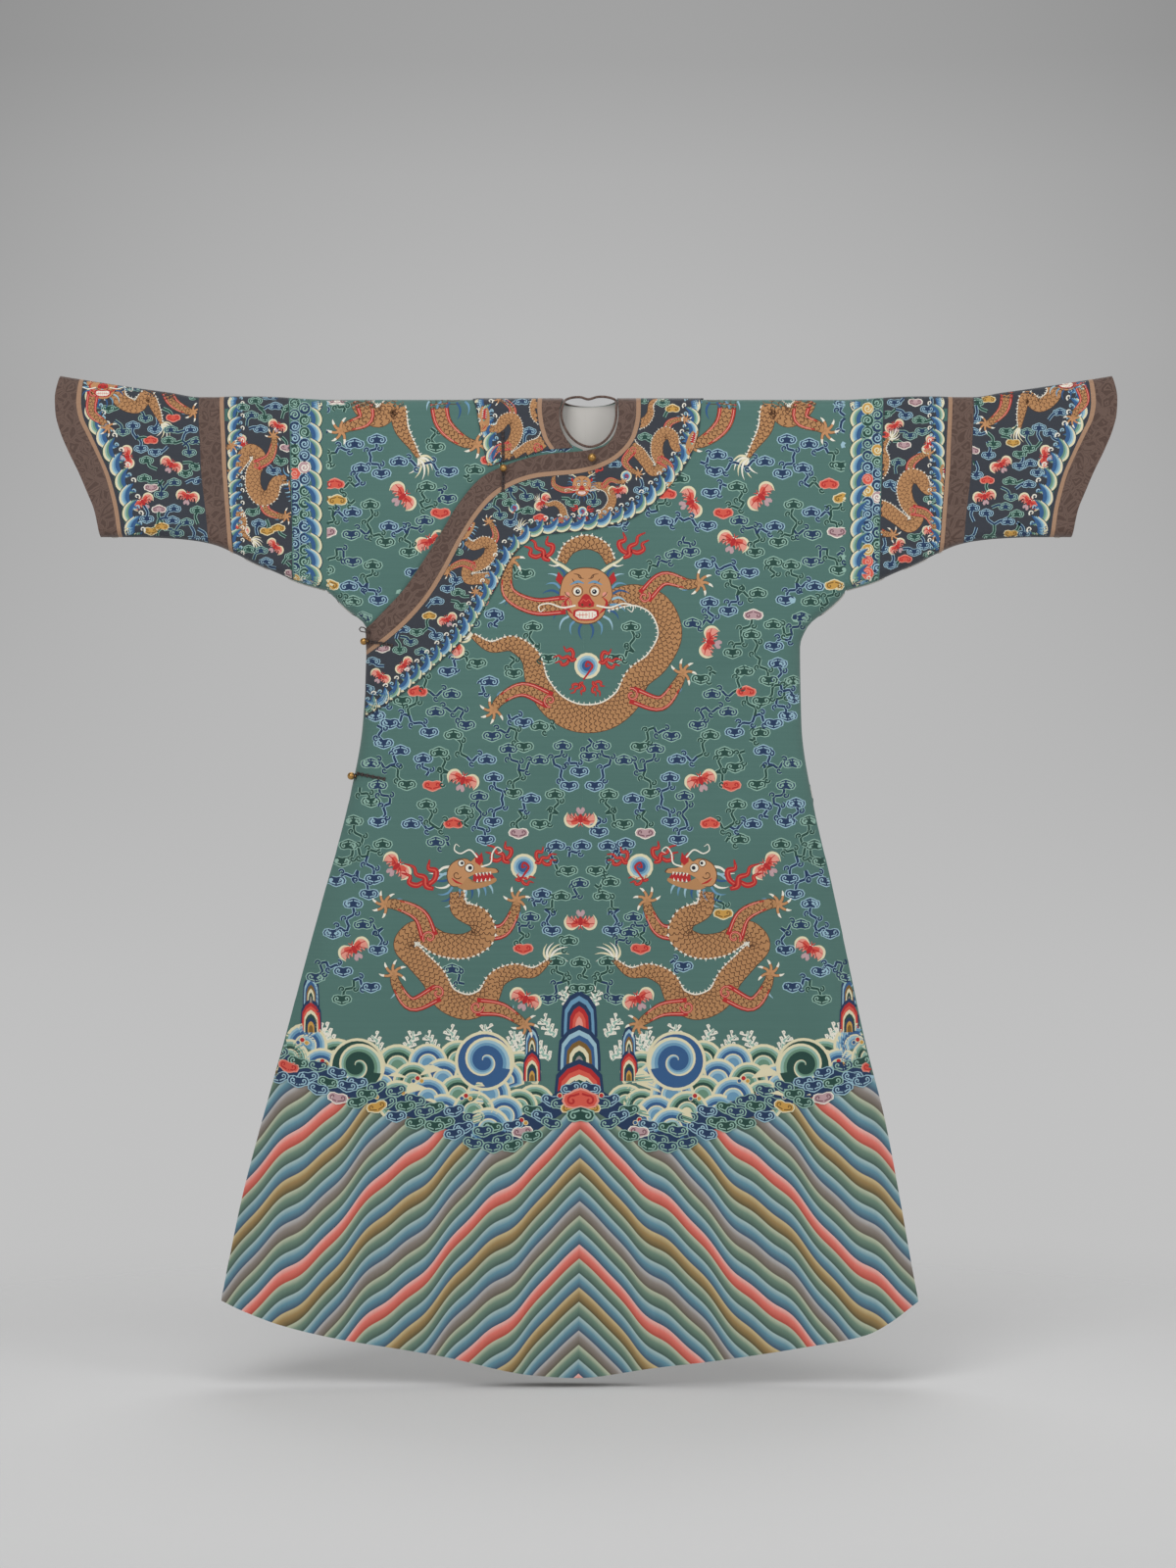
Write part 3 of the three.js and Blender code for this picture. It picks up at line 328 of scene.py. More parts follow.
class Value:
    """A socket with Python's operators, each of which adds a Math node."""

    def __init__(self, nodes, socket):
        self.nodes, self.socket = nodes, socket

    def maths(self, operation, *others):
        return self.nodes.add("ShaderNodeMath", {"operation": operation}, dict(enumerate((self, *others))))

    def __add__(self, other):
        return self.maths("ADD", other)

    def __sub__(self, other):
        return self.maths("SUBTRACT", other)

    def __rsub__(self, other):
        return self.maths("MULTIPLY_ADD", -1.0, other)

    def __mul__(self, other):
        return self.maths("MULTIPLY", other)

    def __truediv__(self, other):
        return self.maths("DIVIDE", other)

    __radd__ = __add__
    __rmul__ = __mul__

    def above(self, other):
        return self.maths("GREATER_THAN", other)

    def size(self):
        return self.maths("ABSOLUTE")

    def sine(self):
        return self.maths("SINE")

    def part(self):
        return self.maths("FRACT")

    def least(self, other):
        return self.maths("MINIMUM", other)

    def most(self, other):
        return self.maths("MAXIMUM", other)


class Nodes:
    """The one way to add nodes to a tree."""

    def __init__(self, tree):
        self.tree = tree
        tree.nodes.clear()

    def add(self, kind, settings=None, inputs=None, output=0):
        node = self.tree.nodes.new(kind)
        for key, setting in (settings or {}).items():
            if key == "stops":
                self.stops(node.color_ramp, setting)
            elif key == "interpolation":
                node.color_ramp.interpolation = setting
            else:
                setattr(node, key, setting)
        for key, value in (inputs or {}).items():
            value = value.socket if isinstance(value, Value) else value
            if isinstance(value, bpy.types.NodeSocket):
                self.tree.links.new(value, node.inputs[key])
            else:
                node.inputs[key].default_value = value
        return Value(self, node.outputs[output])

    @staticmethod
    def stops(ramp, stops):
        ramp.elements[0].position, ramp.elements[0].color = stops[0]
        ramp.elements[1].position, ramp.elements[1].color = stops[-1]
        for position, colour in stops[1:-1]:
            ramp.elements.new(position).color = colour

    def x_and_z(self, vector):
        split = self.add("ShaderNodeSeparateXYZ", inputs={0: vector}).socket.node
        return Value(self, split.outputs[0]), Value(self, split.outputs[2])

    def stretched(self, vector, x, y, z):
        return self.add("ShaderNodeMapping", inputs={"Vector": vector, "Scale": (x, y, z)})

    def noise(self, vector, scale, detail=2.0, roughness=0.5):
        return self.add("ShaderNodeTexNoise", inputs={
            "Vector": vector, "Scale": scale, "Detail": detail, "Roughness": roughness})

    def mix(self, factor, a, b, blend="MIX"):
        settings = {"data_type": "RGBA", "blend_type": blend}
        return self.add("ShaderNodeMix", settings, {0: factor, 6: a, 7: b}, 2)

    def put_out(self, shader, kind):
        output = self.tree.nodes.new(kind)
        self.tree.links.new(shader.socket, output.inputs["Surface"])


class Recipe(Nodes):
    """A material's nodes."""

    def __init__(self, name):
        self.material = bpy.data.materials.new(name)
        self.material.use_nodes = True
        super().__init__(self.material.node_tree)

    def place(self):
        """Object coordinates as one vector, and as x and z in millimetres."""
        vector = self.add("ShaderNodeTexCoord", output=3)
        x, z = self.x_and_z(vector)
        return vector, x * 1000.0, z * 1000.0

    def finish(self, inputs):
        self.put_out(self.add("ShaderNodeBsdfPrincipled", inputs=inputs), "ShaderNodeOutputMaterial")
        return self.material

    def silk(self, vector, colour, roughness):
        bump = weave(self, vector)
        return self.finish({"Base Color": colour, "Roughness": roughness, "Normal": bump, **SILK_SHEEN})


SILK_SHEEN = {"Sheen Weight": 0.25, "Sheen Roughness": 0.5, "Specular IOR Level": 0.25}


def weave(recipe, vector):
    """The bump of weft ribs and threads."""
    ribs = recipe.noise(recipe.stretched(vector, 60, 60, 900), 1.0, 2.0)
    threads = recipe.noise(recipe.stretched(vector, 700, 700, 260), 1.0, 1.0)
    return recipe.add("ShaderNodeBump", inputs={
        "Strength": 0.12, "Distance": 0.0006, "Height": ribs * 0.7 + threads * 0.3})


def ground_silk(name, base, streak):
    """A plain woven ground with faint weft streaks and slow fading."""
    recipe = Recipe(name)
    vector, x, z = recipe.place()
    streaks = recipe.noise(recipe.stretched(vector, 3, 3, 320), 1.0, 3.0, 0.6)
    fading = recipe.noise(vector, 4.5, 3.0)
    colour = recipe.mix(streaks * 0.6 + fading * 0.4, base, streak)
    return recipe, vector, x, z, colour


GREEN = silk_colour(70, 106, 99)
GREEN_STREAK = silk_colour(86, 122, 115)
STRIPE_WIDTH = 20.7
STRIPES = [  # from the coral one down: each is pale along its upper edge and dark along its lower
    ((238, 189, 180), (230, 123, 110), (179, 75, 61)),
    ((194, 200, 174), (114, 141, 123), (68, 91, 86)),
    ((176, 199, 198), (101, 147, 163), (66, 84, 108)),
    ((209, 190, 143), (161, 134, 88), (90, 80, 52)),
    ((194, 200, 174), (114, 141, 123), (68, 91, 86)),
    ((176, 199, 198), (101, 147, 163), (66, 84, 108)),
    ((189, 188, 187), (143, 134, 127), (99, 91, 79)),
    ((194, 200, 174), (114, 141, 123), (68, 91, 86)),
    ((176, 199, 198), (101, 147, 163), (66, 84, 108)),
]
CORAL_TIP = 1034  # drop of the coral stripe's tip on the middle seam
# The stripes' upper edge runs down from the seam to this point and up again, with these slopes.
LOW_POINT = {"out": 107, "drop": 1075, "inward": 0.66, "outward": 0.33}


def stripe_stops():
    stops, count = [], len(STRIPES)
    for i, (pale, mid, dark) in enumerate(STRIPES):
        for share, colour in ((0.02, pale), (0.42, mid), (0.97, dark)):
            stops.append(((i + share) / count, silk_colour(*colour)))
    return stops


def striped_silk(name):
    """Green ground with the hem's slanting stripes, which meet in a point on the middle seam."""
    recipe, vector, x, z, ground = ground_silk(name, GREEN, GREEN_STREAK)
    seam = z * (10 / 1400) - 1.0
    out = (x - seam).size()
    long_sway = (out * (2 * math.pi / 148) + z * 0.004).sine() * 7.5
    sway = long_sway + (out * (2 * math.pi / 61) + 1.1).sine() * 2.2
    drop = out * -0.97 - z + sway * (out * 0.012).least(1.0)
    turn = ((drop - CORAL_TIP) / (STRIPE_WIDTH * len(STRIPES))).part()
    stripes = recipe.add("ShaderNodeValToRGB", {"stops": stripe_stops()}, {0: turn})
    worn = recipe.noise(recipe.stretched(vector, 260, 260, 40), 1.0, 3.0, 0.7)
    stripes = recipe.mix(worn * 0.35, stripes,
                         recipe.mix(1.0, stripes, silk_colour(205, 205, 200), "MULTIPLY"))
    inward = (LOW_POINT["out"] - out) * LOW_POINT["inward"]
    edge = inward.most((out - LOW_POINT["out"]) * LOW_POINT["outward"])
    colour = recipe.mix((edge - z - LOW_POINT["drop"]).above(0.0), ground, stripes)
    return recipe.silk(vector, colour, 0.72)


def plain_silk(name, base, streak):
    recipe, vector, *_, colour = ground_silk(name, base, streak)
    return recipe.silk(vector, colour, 0.75)


def damask(name):
    """Brown satin with tone-on-tone scrolls."""
    recipe = Recipe(name)
    vector = recipe.place()[0]
    bend = recipe.noise(vector, 55.0, 2.0)
    bent = recipe.add("ShaderNodeVectorMath", {"operation": "MULTIPLY_ADD"}, {
        0: recipe.add("ShaderNodeCombineXYZ", inputs={0: bend, 2: bend}), 1: (0.02, 0.0, 0.02), 2: vector})
    cells = recipe.add("ShaderNodeTexVoronoi", {"feature": "DISTANCE_TO_EDGE"},
                       {"Vector": bent, "Scale": 75.0})
    scroll = (cells * 22.0).sine().above(0.35)
    colour = recipe.mix(scroll, silk_colour(84, 64, 56), silk_colour(108, 87, 78))
    colour = recipe.mix(recipe.noise(vector, 8.0) * 0.3, colour, silk_colour(70, 52, 46))
    return recipe.silk(vector, colour, 0.55 + scroll * 0.12)


def flat_colour(name, colour):
    return Recipe(name).finish({"Base Color": colour, "Roughness": 0.6})


striped = striped_silk("striped green silk")
navy = plain_silk("dark blue silk", silk_colour(48, 52, 60), silk_colour(60, 64, 72))
brown = damask("brown damask")
tan = plain_silk("tan piping silk", silk_colour(150, 116, 92), silk_colour(176, 142, 116))
lining = flat_colour("pale lining silk", silk_colour(196, 193, 188))
cord_silk = flat_colour("dark cord silk", silk_colour(58, 46, 44))


# Cloth shells

def mesh_object(name, points, faces, materials, face_materials=None):
    mesh = bpy.data.meshes.new(name)
    rows = faces if isinstance(faces, list) else faces.tolist()
    mesh.from_pydata(points.reshape(-1, 3).tolist(), [], rows)
    for material in materials:
        mesh.materials.append(material)
    if face_materials is not None:
        mesh.polygons.foreach_set("material_index", np.asarray(face_materials, np.int32))
    mesh.polygons.foreach_set("use_smooth", np.ones(len(mesh.polygons), bool))
    mesh.update()
    thing = bpy.data.objects.new(name, mesh)
    bpy.context.scene.collection.objects.link(thing)
    return thing


def grid_faces(rows, cols, first=0, closed=False, turned=False):
    r, c = np.meshgrid(np.arange(rows if closed else rows - 1), np.arange(cols - 1), indexing="ij")
    below = (r + 1) % rows
    corners = [r * cols + c, below * cols + c, below * cols + c + 1, r * cols + c + 1]
    quads = np.stack(corners, -1).reshape(-1, 4)
    return (quads[:, ::-1] if turned else quads) + first


def cloth_shell(name, outer, inner, material, inside, closed=False):
    """A closed wall of cloth between an outer and an inner grid of points."""
    rows, cols = outer.shape[:2]
    first = rows * cols
    sides = []
    count = rows if closed else rows - 1
    r = np.arange(count)
    below = (r + 1) % rows
    sides.append(np.stack([below * cols, r * cols, first + r * cols, first + below * cols], -1))
    end = cols - 1
    upper, lower = r * cols + end, below * cols + end
    sides.append(np.stack([upper, lower, first + lower, first + upper], -1))
    if not closed:
        c = np.arange(cols - 1)
        last = (rows - 1) * cols
        sides.append(np.stack([c, c + 1, first + c + 1, first + c], -1))
        sides.append(np.stack([last + c + 1, last + c, first + last + c, first + last + c + 1], -1))
    outside, within = grid_faces(rows, cols, 0, closed), grid_faces(rows, cols, first, closed, True)
    edges = np.vstack(sides)
    faces = np.vstack([outside, edges, within])
    kinds = np.r_[np.zeros(len(outside) + len(edges)), np.ones(len(within))]
    points = np.vstack([outer.reshape(-1, 3), inner.reshape(-1, 3)])
    shell = mesh_object(name, points, faces, [material, inside], kinds)
    mark_round_edges(shell)
    return shell


def mark_round_edges(shell):
    shell.data.set_sharp_from_angle(angle=math.radians(50))


def flat_area(grid):
    """Area of a grid of points, in square metres."""
    a, b = grid[1:, 1:] - grid[:-1, :-1], grid[1:, :-1] - grid[:-1, 1:]
    return float(np.linalg.norm(np.cross(a, b), axis=-1).sum() / 2)


def hang(shell, grid, node):
    """Attaches a finished cloth to the root, hides the part it replaces and works out its area."""
    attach(shell, "root")
    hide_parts(node)
    area = flat_area(grid)


ROUND_STEPS = 9


def shares(even, start=0.0, end=0.0):
    """Shares from 0 to 1, close together over a rounded start or end."""
    quarter = np.arange(1, ROUND_STEPS + 1) * math.pi / 2 / ROUND_STEPS
    marks = [0.0]
    if start:
        marks += list(start * (1 - np.cos(quarter)))
    marks += list(np.linspace(marks[-1], 1 - end, even + 1)[1:])
    if end:
        marks += list(1 - end * (1 - np.sin(quarter)))
    return np.array(marks)


TURN = FOLD_RADIUS * (1 - np.cos(np.arange(0, 10) * math.pi / 18))
UNDERARM = [270, 274.6, 276, 278.5, 281, 285, 289, 295, 301, 308, 315, 322, 329, 336, 343, 350, 358]
PANEL_DROPS = np.r_[TURN, np.arange(18, 266, 7), UNDERARM, np.linspace(366, SIDE_LENGTH, 120)]
TO_SIDE = shares(46, end=0.12)
FROM_SIDE = 1 - TO_SIDE[::-1]


def hung(drop, hem_x):
    swing = smoothstep(HEM_FROM * SIDE_LENGTH, SIDE_LENGTH, drop)
    return -drop * lerp(1, hem_drop(hem_x) / SIDE_LENGTH, swing)


def panel(from_x, to_x, drops, across):
    """x and z of a panel in rows between two edges."""
    x = lerp(from_x(drops)[:, None], to_x(drops)[:, None], across)
    hem_x = lerp(from_x(np.array([SIDE_LENGTH])), to_x(np.array([SIDE_LENGTH])), across)
    return x, hung(drops[:, None], hem_x)


def armhole_or(side, sign):
    return lambda drop: np.where(drop < UNDERARM_DROP - 1, sign * (ARMHOLE_REACH - MEET), side(drop))


def middle(neck, sign):
    return lambda drop: np.where(drop <= MIDDLE_NECK_DROP, neck(drop), seam_x(-drop) + sign * MEET)


def make_panel(skin, x, z, lift, node):
    outer, inner = skin.points(x, z, lift), skin.points(x, z, lift, CLOTH)
    hang(cloth_shell(f"{node}_cloth", outer, inner, striped, lining), outer, node)


def front_left_cloth():
    x, z = panel(middle(neck_left, 1), armhole_or(left_side, 1), PANEL_DROPS, TO_SIDE)
    make_panel(front, x, z, overlap_lift(x), "front_left")


def front_under_cloth():
    drops = PANEL_DROPS.copy()
    drops[-1] = SIDE_LENGTH - UNDER_SHORTER
    drops = drops[(drops < SIDE_LENGTH - UNDER_SHORTER - 4) | (drops == drops[-1])]
    edge = armhole_or(right_side, -1)

    def side(drop):
        return edge(drop) + 3 * smoothstep(SLIT_DROP, 800, drop)

    x, z = panel(side, middle(neck_right, -1), drops, FROM_SIDE)
    lift = -UNDER_DEEPER * smoothstep(10, 70, closing_edge(x) - z)
    make_panel(front, x, z, lift, "front_under")


def front_overlap_cloth():
    start_x = lerp(right_side(CLOSING_DROP), seam_x(0) - MEET, FROM_SIDE)
    rows = np.r_[np.linspace(0, 0.03, 7), np.linspace(0.04, 1, 120)][:, None]
    drop = lerp(-closing_edge(start_x), SIDE_LENGTH, rows)
    x = lerp(right_side(np.maximum(drop, CLOSING_DROP)), seam_x(-drop) - MEET, FROM_SIDE)
    hem_x = lerp(right_side(SIDE_LENGTH), seam_x(-SIDE_LENGTH), FROM_SIDE)
    z = hung(drop, hem_x)
    make_panel(front, x, z, OVERLAP_LIFT, "front_overlap")


def back_cloth(sign, node):
    side = armhole_or(left_side if sign > 0 else right_side, sign)
    half_width, neck_drop = BACK_RINGS["neck"]

    def neck(drop):
        part = np.clip((drop - 2) / (neck_drop - 2), 0, 1)
        out = np.maximum(half_width * np.sqrt(1 - part**2), MEET)
        return lerp(BACK_MIDDLE, seam_x(-drop), part) + sign * out

    drops = np.sort(np.r_[PANEL_DROPS, neck_drop, 3, 5, 7])
    if sign > 0:
        x, z = panel(side, neck, drops, FROM_SIDE)
    else:
        x, z = panel(neck, side, drops, TO_SIDE)
    make_panel(back, x, z, 0, node)


front_left_cloth()
front_under_cloth()
front_overlap_cloth()
back_cloth(1, "back_left")
back_cloth(-1, "back_right")


# Neck border

def curve(table, x_name, z_name):
    """A smooth line through two columns of a border's table, by share of its rows."""
    points = np.c_[table[x_name], table[z_name]]
    knots = np.r_[0, np.cumsum(np.sqrt(np.linalg.norm(np.diff(points, axis=0), axis=1)))]
    slopes = np.gradient(points, knots, axis=0)

    def at(share):
        spans = np.asarray(share) * (len(points) - 1)
        i = np.clip(spans.astype(int), 0, len(points) - 2)
        t = (spans - i)[:, None]
        h = (knots[i + 1] - knots[i])[:, None]
        return hermite(points[i], points[i + 1], h * slopes[i], h * slopes[i + 1], t)

    return at


def shifted(start, towards, by):
    run = towards - start
    return start + run / np.linalg.norm(run, axis=1)[:, None] * by


def panel_level(x, z=None):
    """The height of the face of what lies on the outer front."""
    return overlap_lift(x) + LAYER_GAP + BAND


def under_level(x, z=None):
    """The height of the face of what lies on the front underneath."""
    return np.full(np.shape(x), LAYER_GAP + BAND)


def back_level(x, z=None):
    """The height of the face of what lies on the back."""
    return under_level(x) + 0.5


def border_strip(table, which, along, across, turned, level, node, material, slot_name):
    rows = len(table["in_x"])
    first = 1 / (rows - 1)
    s = np.r_[TURN[:-1] / FOLD_RADIUS * first, lerp(first, 1, along)]
    inner, edge, outer = (curve(table, f"{k}_x", f"{k}_z")(s) for k in ("in", "tan", "out"))
    a, b = {
        "damask": (inner, shifted(edge, inner, TAN_WIDTH + SEAM)),
        "tan": (shifted(edge, inner, TAN_WIDTH), edge),
        "border": (shifted(edge, outer, SEAM), outer),
    }[which]
    points = lerp(a[None], b[None], np.linspace(0, 1, across)[:, None, None])
    x, z = points[..., 0], points[..., 1]
    z[:, :len(TURN) - 1] = -TURN[:-1]
    if turned:
        x, z = x[::-1], z[::-1]
    outer_grid, inner_grid = front.points(x, z, level(x)), front.points(x, z, level(x), BAND)
    shell = cloth_shell(f"{node}_cloth", outer_grid, inner_grid, material, material)
    hang(shell, outer_grid, node)


NECK_KINDS = (("damask", 8, brown, "brown_damask"), ("tan", 4, tan, "tan_piping"),
              ("border", 18, navy, "navy_silk"))
for kind, across, material, slot_name in NECK_KINDS:
    look = material, slot_name
    border_strip(NECK_BORDER, kind, shares(150, end=0.07), across, True, panel_level, f"neck_{kind}", *look)
    border_strip(UNDER_BORDER, kind, shares(28), across, False, under_level, f"under_{kind}", *look)


def back_ring(which, inside, outside, gap, across, material):
    drops = (BACK_RINGS["border"][1], BACK_RINGS["tan"][1])
    rounded_top = [np.arcsin(TURN / drop) for drop in drops]
    quarter = np.unique(np.r_[*rounded_top, np.radians(np.linspace(0, 90, 46))])
    angles = np.r_[quarter, math.pi - quarter[-2::-1]]

    def on_ring(ring, more):
        return np.c_[BACK_MIDDLE + (ring[0] + more) * np.cos(angles), -(ring[1] + more) * np.sin(angles)]

    share = np.linspace(0, 1, across)[:, None, None]
    points = lerp(on_ring(inside, gap)[None], on_ring(outside, 0)[None], share)
    x, z = points[..., 0], points[..., 1]
    level = back_level(x)
    outer, inner = back.points(x, z, level), back.points(x, z, level, BAND)
    shell = cloth_shell(f"back_{which}_cloth", outer, inner, material, material)
    hang(shell, outer, f"back_{which}")


neck_ring, tan_ring, border_ring = (BACK_RINGS[k] for k in ("neck", "tan", "border"))
inner_tan = (tan_ring[0] - TAN_WIDTH, tan_ring[1] - TAN_WIDTH)
damask_ring = (inner_tan[0] - SEAM, inner_tan[1] - SEAM)
back_ring("damask", neck_ring, damask_ring, 0, 10, brown)
back_ring("tan", inner_tan, tan_ring, 0, 4, tan)
back_ring("border", tan_ring, border_ring, SEAM, 24, navy)


# Sleeves

SLEEVE_PARTS = (
    ("sleeve", "armhole", "border", 9, striped, "green_silk"),
    ("sleeve_band", "border", "tan", 14, navy, "navy_silk"),
    ("sleeve_tan", "tan", "damask", 3, tan, "tan_piping"),
    ("sleeve_damask", "damask", "cuff", 6, brown, "brown_damask"),
    ("cuff", "cuff", "hoof_tan", 26, navy, "navy_silk"),
    ("cuff_tan", "hoof_tan", "hoof", 3, tan, "tan_piping"),
    ("cuff_hoof", "hoof", "end", 6, brown, "brown_damask"),
)


def seam_reach(name):
    """How far out a sleeve seam is, by the share of the way down the sleeve."""
    if name == "armhole":
        return lambda down: np.full(down.shape, float(ARMHOLE_REACH))
    return smooth(SLEEVE_SEAMS, "down", name)


def sleeve_part(sign, name, start, end, steps, material, slot_name):
    down = shares(34, start=0.055, end=0.055)
    grids = []
    for skin, rows in ((front, down), (back, down[::-1][1:-1])):
        a, b = seam_reach(start)(rows)[:, None] + MEET, seam_reach(end)(rows)[:, None] - MEET
        across = np.linspace(0, 1, steps + 1)
        reach = lerp(a, b, across if sign > 0 else 1 - across)
        x, z = sign * reach, lerp(sleeve_rise(reach), -sleeve_drop(reach), rows[:, None])
        pair = [skin.points(x, z, 0), skin.points(x, z, 0, CLOTH)]
        for grid in pair:
            closed = (rows == 0) | (rows == 1)
            grid[closed, :, 1] = 0
        grids.append(pair)
    outer, inner = (np.vstack([grids[0][i], grids[1][i]]) for i in (0, 1))
    side = "left" if sign > 0 else "right"
    shell = cloth_shell(f"{name}_{side}_cloth", outer, inner, material, lining, closed=True)
    hang(shell, np.vstack([outer, outer[:1]]), f"{name}_{side}")


for sign in (1, -1):
    for part in SLEEVE_PARTS:
        sleeve_part(sign, *part)


# Woven figures: flat coloured shapes that lie on a cloth, drawn in millimetres

INKS = {name: silk_colour(*screen) for name, *screen in (
    ("sky", 152, 187, 201), ("water", 104, 150, 180), ("blue", 50, 90, 136), ("deep", 30, 54, 88),
    ("mint", 144, 180, 166), ("leaf", 104, 142, 120), ("pine", 34, 70, 62), ("night", 32, 36, 46),
    ("cream", 222, 214, 180), ("white", 232, 228, 214), ("rose", 226, 150, 134), ("coral", 212, 88, 72),
    ("red", 178, 40, 42), ("ochre", 198, 152, 74), ("mustard", 122, 92, 44), ("mauve", 184, 152, 156),
    ("plum", 118, 84, 92), ("gold", 180, 132, 88), ("pale_gold", 192, 140, 96), ("scale", 92, 60, 38),
    ("stone", 148, 140, 134), ("ground", 70, 106, 99),
)}
INK_MATERIALS = {}
FIRST_LEVEL, LAYER_STEP, CALL_STEP = 0.1, 0.03, 0.002
LANE = 7  # wide shapes follow the cloth in lanes about this wide


def ink_material(name):
    if name not in INK_MATERIALS:
        recipe = Recipe(f"{name} weft")
        INK_MATERIALS[name] = recipe.finish({"Base Color": INKS[name], "Roughness": 0.72, **SILK_SHEEN})
    return INK_MATERIALS[name]


class Weaving:
    """The figures of one cloth: lift is the height of its face, and inside says where it is."""

    def __init__(self, name, skin, lift, inside, slot_name):
        self.name, self.skin, self.lift, self.inside, self.slot_name = name, skin, lift, inside, slot_name
        self.points, self.levels, self.faces, self.inks, self.count = [], [], [], [], 0
        self.taken, self.map = [], np.zeros((0, 3))

    def add(self, points, faces, ink, level):
        self.points.append(points)
        self.levels.append(np.full(len(points), level))
        self.faces.append(faces + self.count)
        self.inks.append(np.full(len(faces), list(INKS).index(ink)))
        self.count += len(points)

    def at(self, x, z, turn=0.0, size=1.0, mirror=False):
        return Pen(self, x, z, turn, size, mirror)

    def finish(self):
        points, levels = np.vstack(self.points), np.concatenate(self.levels)
        x, z = points.T
        kept = self.inside(x, z)
        faces, inks = np.vstack(self.faces), np.concatenate(self.inks)
        on_cloth = kept[faces].all(1)
        faces, inks = faces[on_cloth], inks[on_cloth]
        across, down = points[faces[:, 2]] - points[faces[:, 0]], points[faces[:, 3]] - points[faces[:, 1]]
        turned = (across[:, 0] * down[:, 1] - across[:, 1] * down[:, 0]) * -self.skin.face < 0
        faces[turned] = faces[turned][:, ::-1]
        used, faces = np.unique(faces, return_inverse=True)
        faces = faces.reshape(-1, 4)
        x, z, levels = x[used], z[used], levels[used]
        at = self.skin.points(x, z, self.lift(x, z) + FIRST_LEVEL + levels)
        names = [list(INKS)[i] for i in np.unique(inks)]
        rows = [list(dict.fromkeys(face)) for face in faces.tolist()]
        kinds = np.searchsorted(np.unique(inks), inks)
        piece = mesh_object(self.name, at, rows, [ink_material(name) for name in names], kinds)
        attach(piece, "root")


class Pen:
    """Draws in a figure's own millimetres, at a place on a cloth."""

    def __init__(self, cloth, x, z, turn, size, mirror):
        self.cloth, self.size, self.mirror, self.calls = cloth, size, mirror, 0
        c, s = math.cos(turn) * size, math.sin(turn) * size
        flip = -1 if mirror else 1
        self.origin, self.turn = np.array([x, z]), np.array([[c * flip, s], [-s * flip, c]])

    def lay(self, points):
        return np.asarray(points, float) @ self.turn + self.origin

    def put(self, points, faces, ink, on):
        self.calls += 1
        self.cloth.add(self.lay(points), faces, ink, on * LAYER_STEP + min(self.calls, 90) * CALL_STEP)

    def ribbons(self, paths, width, ink, on=0, offset=0.0):
        """One ribbon along each path. paths is ribbons by points by 2."""
        paths = np.asarray(paths, float)
        count, steps = paths.shape[:2]
        along = np.gradient(paths, axis=1)
        along /= np.maximum(np.linalg.norm(along, axis=-1, keepdims=True), 1e-9)
        side = np.stack([-along[..., 1], along[..., 0]], -1)
        half = np.broadcast_to(np.asarray(width, float), (count, steps))[..., None] / 2
        middle = paths + side * np.broadcast_to(np.asarray(offset, float), (count, steps))[..., None]
        lanes = max(2, math.ceil(half.max() * 2 * self.size / LANE) + 1)
        rails = np.stack([middle + side * half * q for q in np.linspace(1, -1, lanes)], 2)
        base = np.arange(count)[:, None, None] * steps * lanes + np.arange(steps - 1)[:, None] * lanes
        base = (base + np.arange(lanes - 1)).reshape(-1, 1)
        self.put(rails.reshape(-1, 2), base + np.array([0, 1, lanes + 1, lanes]), ink, on)

    def ribbon(self, path, width, ink, on=0, offset=0.0):
        self.ribbons(np.asarray(path, float)[None], width, ink, on, offset)

    def stroke(self, rows, per_span, ink, on=0):
        """A ribbon along a smooth line through rows of x, z and width."""
        drawn = line(rows, per_span)
        self.ribbon(drawn[:, :2], drawn[:, 2], ink, on)

    def patch(self, outline, ink, on=0):
        """A filled shape round its own middle."""
        outline = np.asarray(outline, float)
        n, middle = len(outline), outline.mean(0)
        rings = max(1, math.ceil(np.linalg.norm(outline - middle, axis=1).max() * self.size / LANE))
        points = [lerp(outline, middle, k / rings) for k in range(rings)] + [middle[None]]
        i, faces = np.arange(n), []
        for k in range(rings):
            a, b = k * n + i, k * n + (i + 1) % n
            inner = (b + n, a + n) if k < rings - 1 else (np.full(n, rings * n),) * 2
            faces.append(np.c_[a, b, inner[0], inner[1]])
        self.put(np.vstack(points), np.vstack(faces), ink, on)

    def disc(self, x, z, radius, ink, on=0):
        angle = np.linspace(0, 2 * math.pi, max(14, int(radius * 0.8)), endpoint=False)
        self.patch(np.c_[x + radius * np.cos(angle), z + radius * np.sin(angle)], ink, on)

    def take(self, x, z, radius):
        place = self.lay([(x, z)])[0]
        self.cloth.taken.append((place[0], place[1], radius * self.size))


def line(points, per_span=6):
    """A smooth line through given points, each with any more columns such as a width."""
    points = np.asarray(points, float)
    knots = np.r_[0, np.cumsum(np.linalg.norm(np.diff(points[:, :2], axis=0), axis=1) ** 0.5)]
    slopes = np.gradient(points, knots, axis=0)
    rows = []
    for i in range(len(points) - 1):
        t = np.linspace(0, 1, per_span, endpoint=i == len(points) - 2)[:, None]
        h = knots[i + 1] - knots[i]
        rows.append(hermite(points[i], points[i + 1], h * slopes[i], h * slopes[i + 1], t))
    return np.vstack(rows)


def both(outline):
    """A shape from its right half, from the bottom up."""
    outline = np.asarray(outline, float)
    return np.vstack([outline, outline[outline[:, 0] > 0][::-1] * [-1, 1]])


def rounded(outline, per_span=4):
    """A closed outline with its corners smoothed."""
    outline = np.asarray(outline, float)
    around = np.vstack([outline[-2:], outline, outline[:3]])
    return line(around, per_span)[2 * per_span:(2 + len(outline)) * per_span]


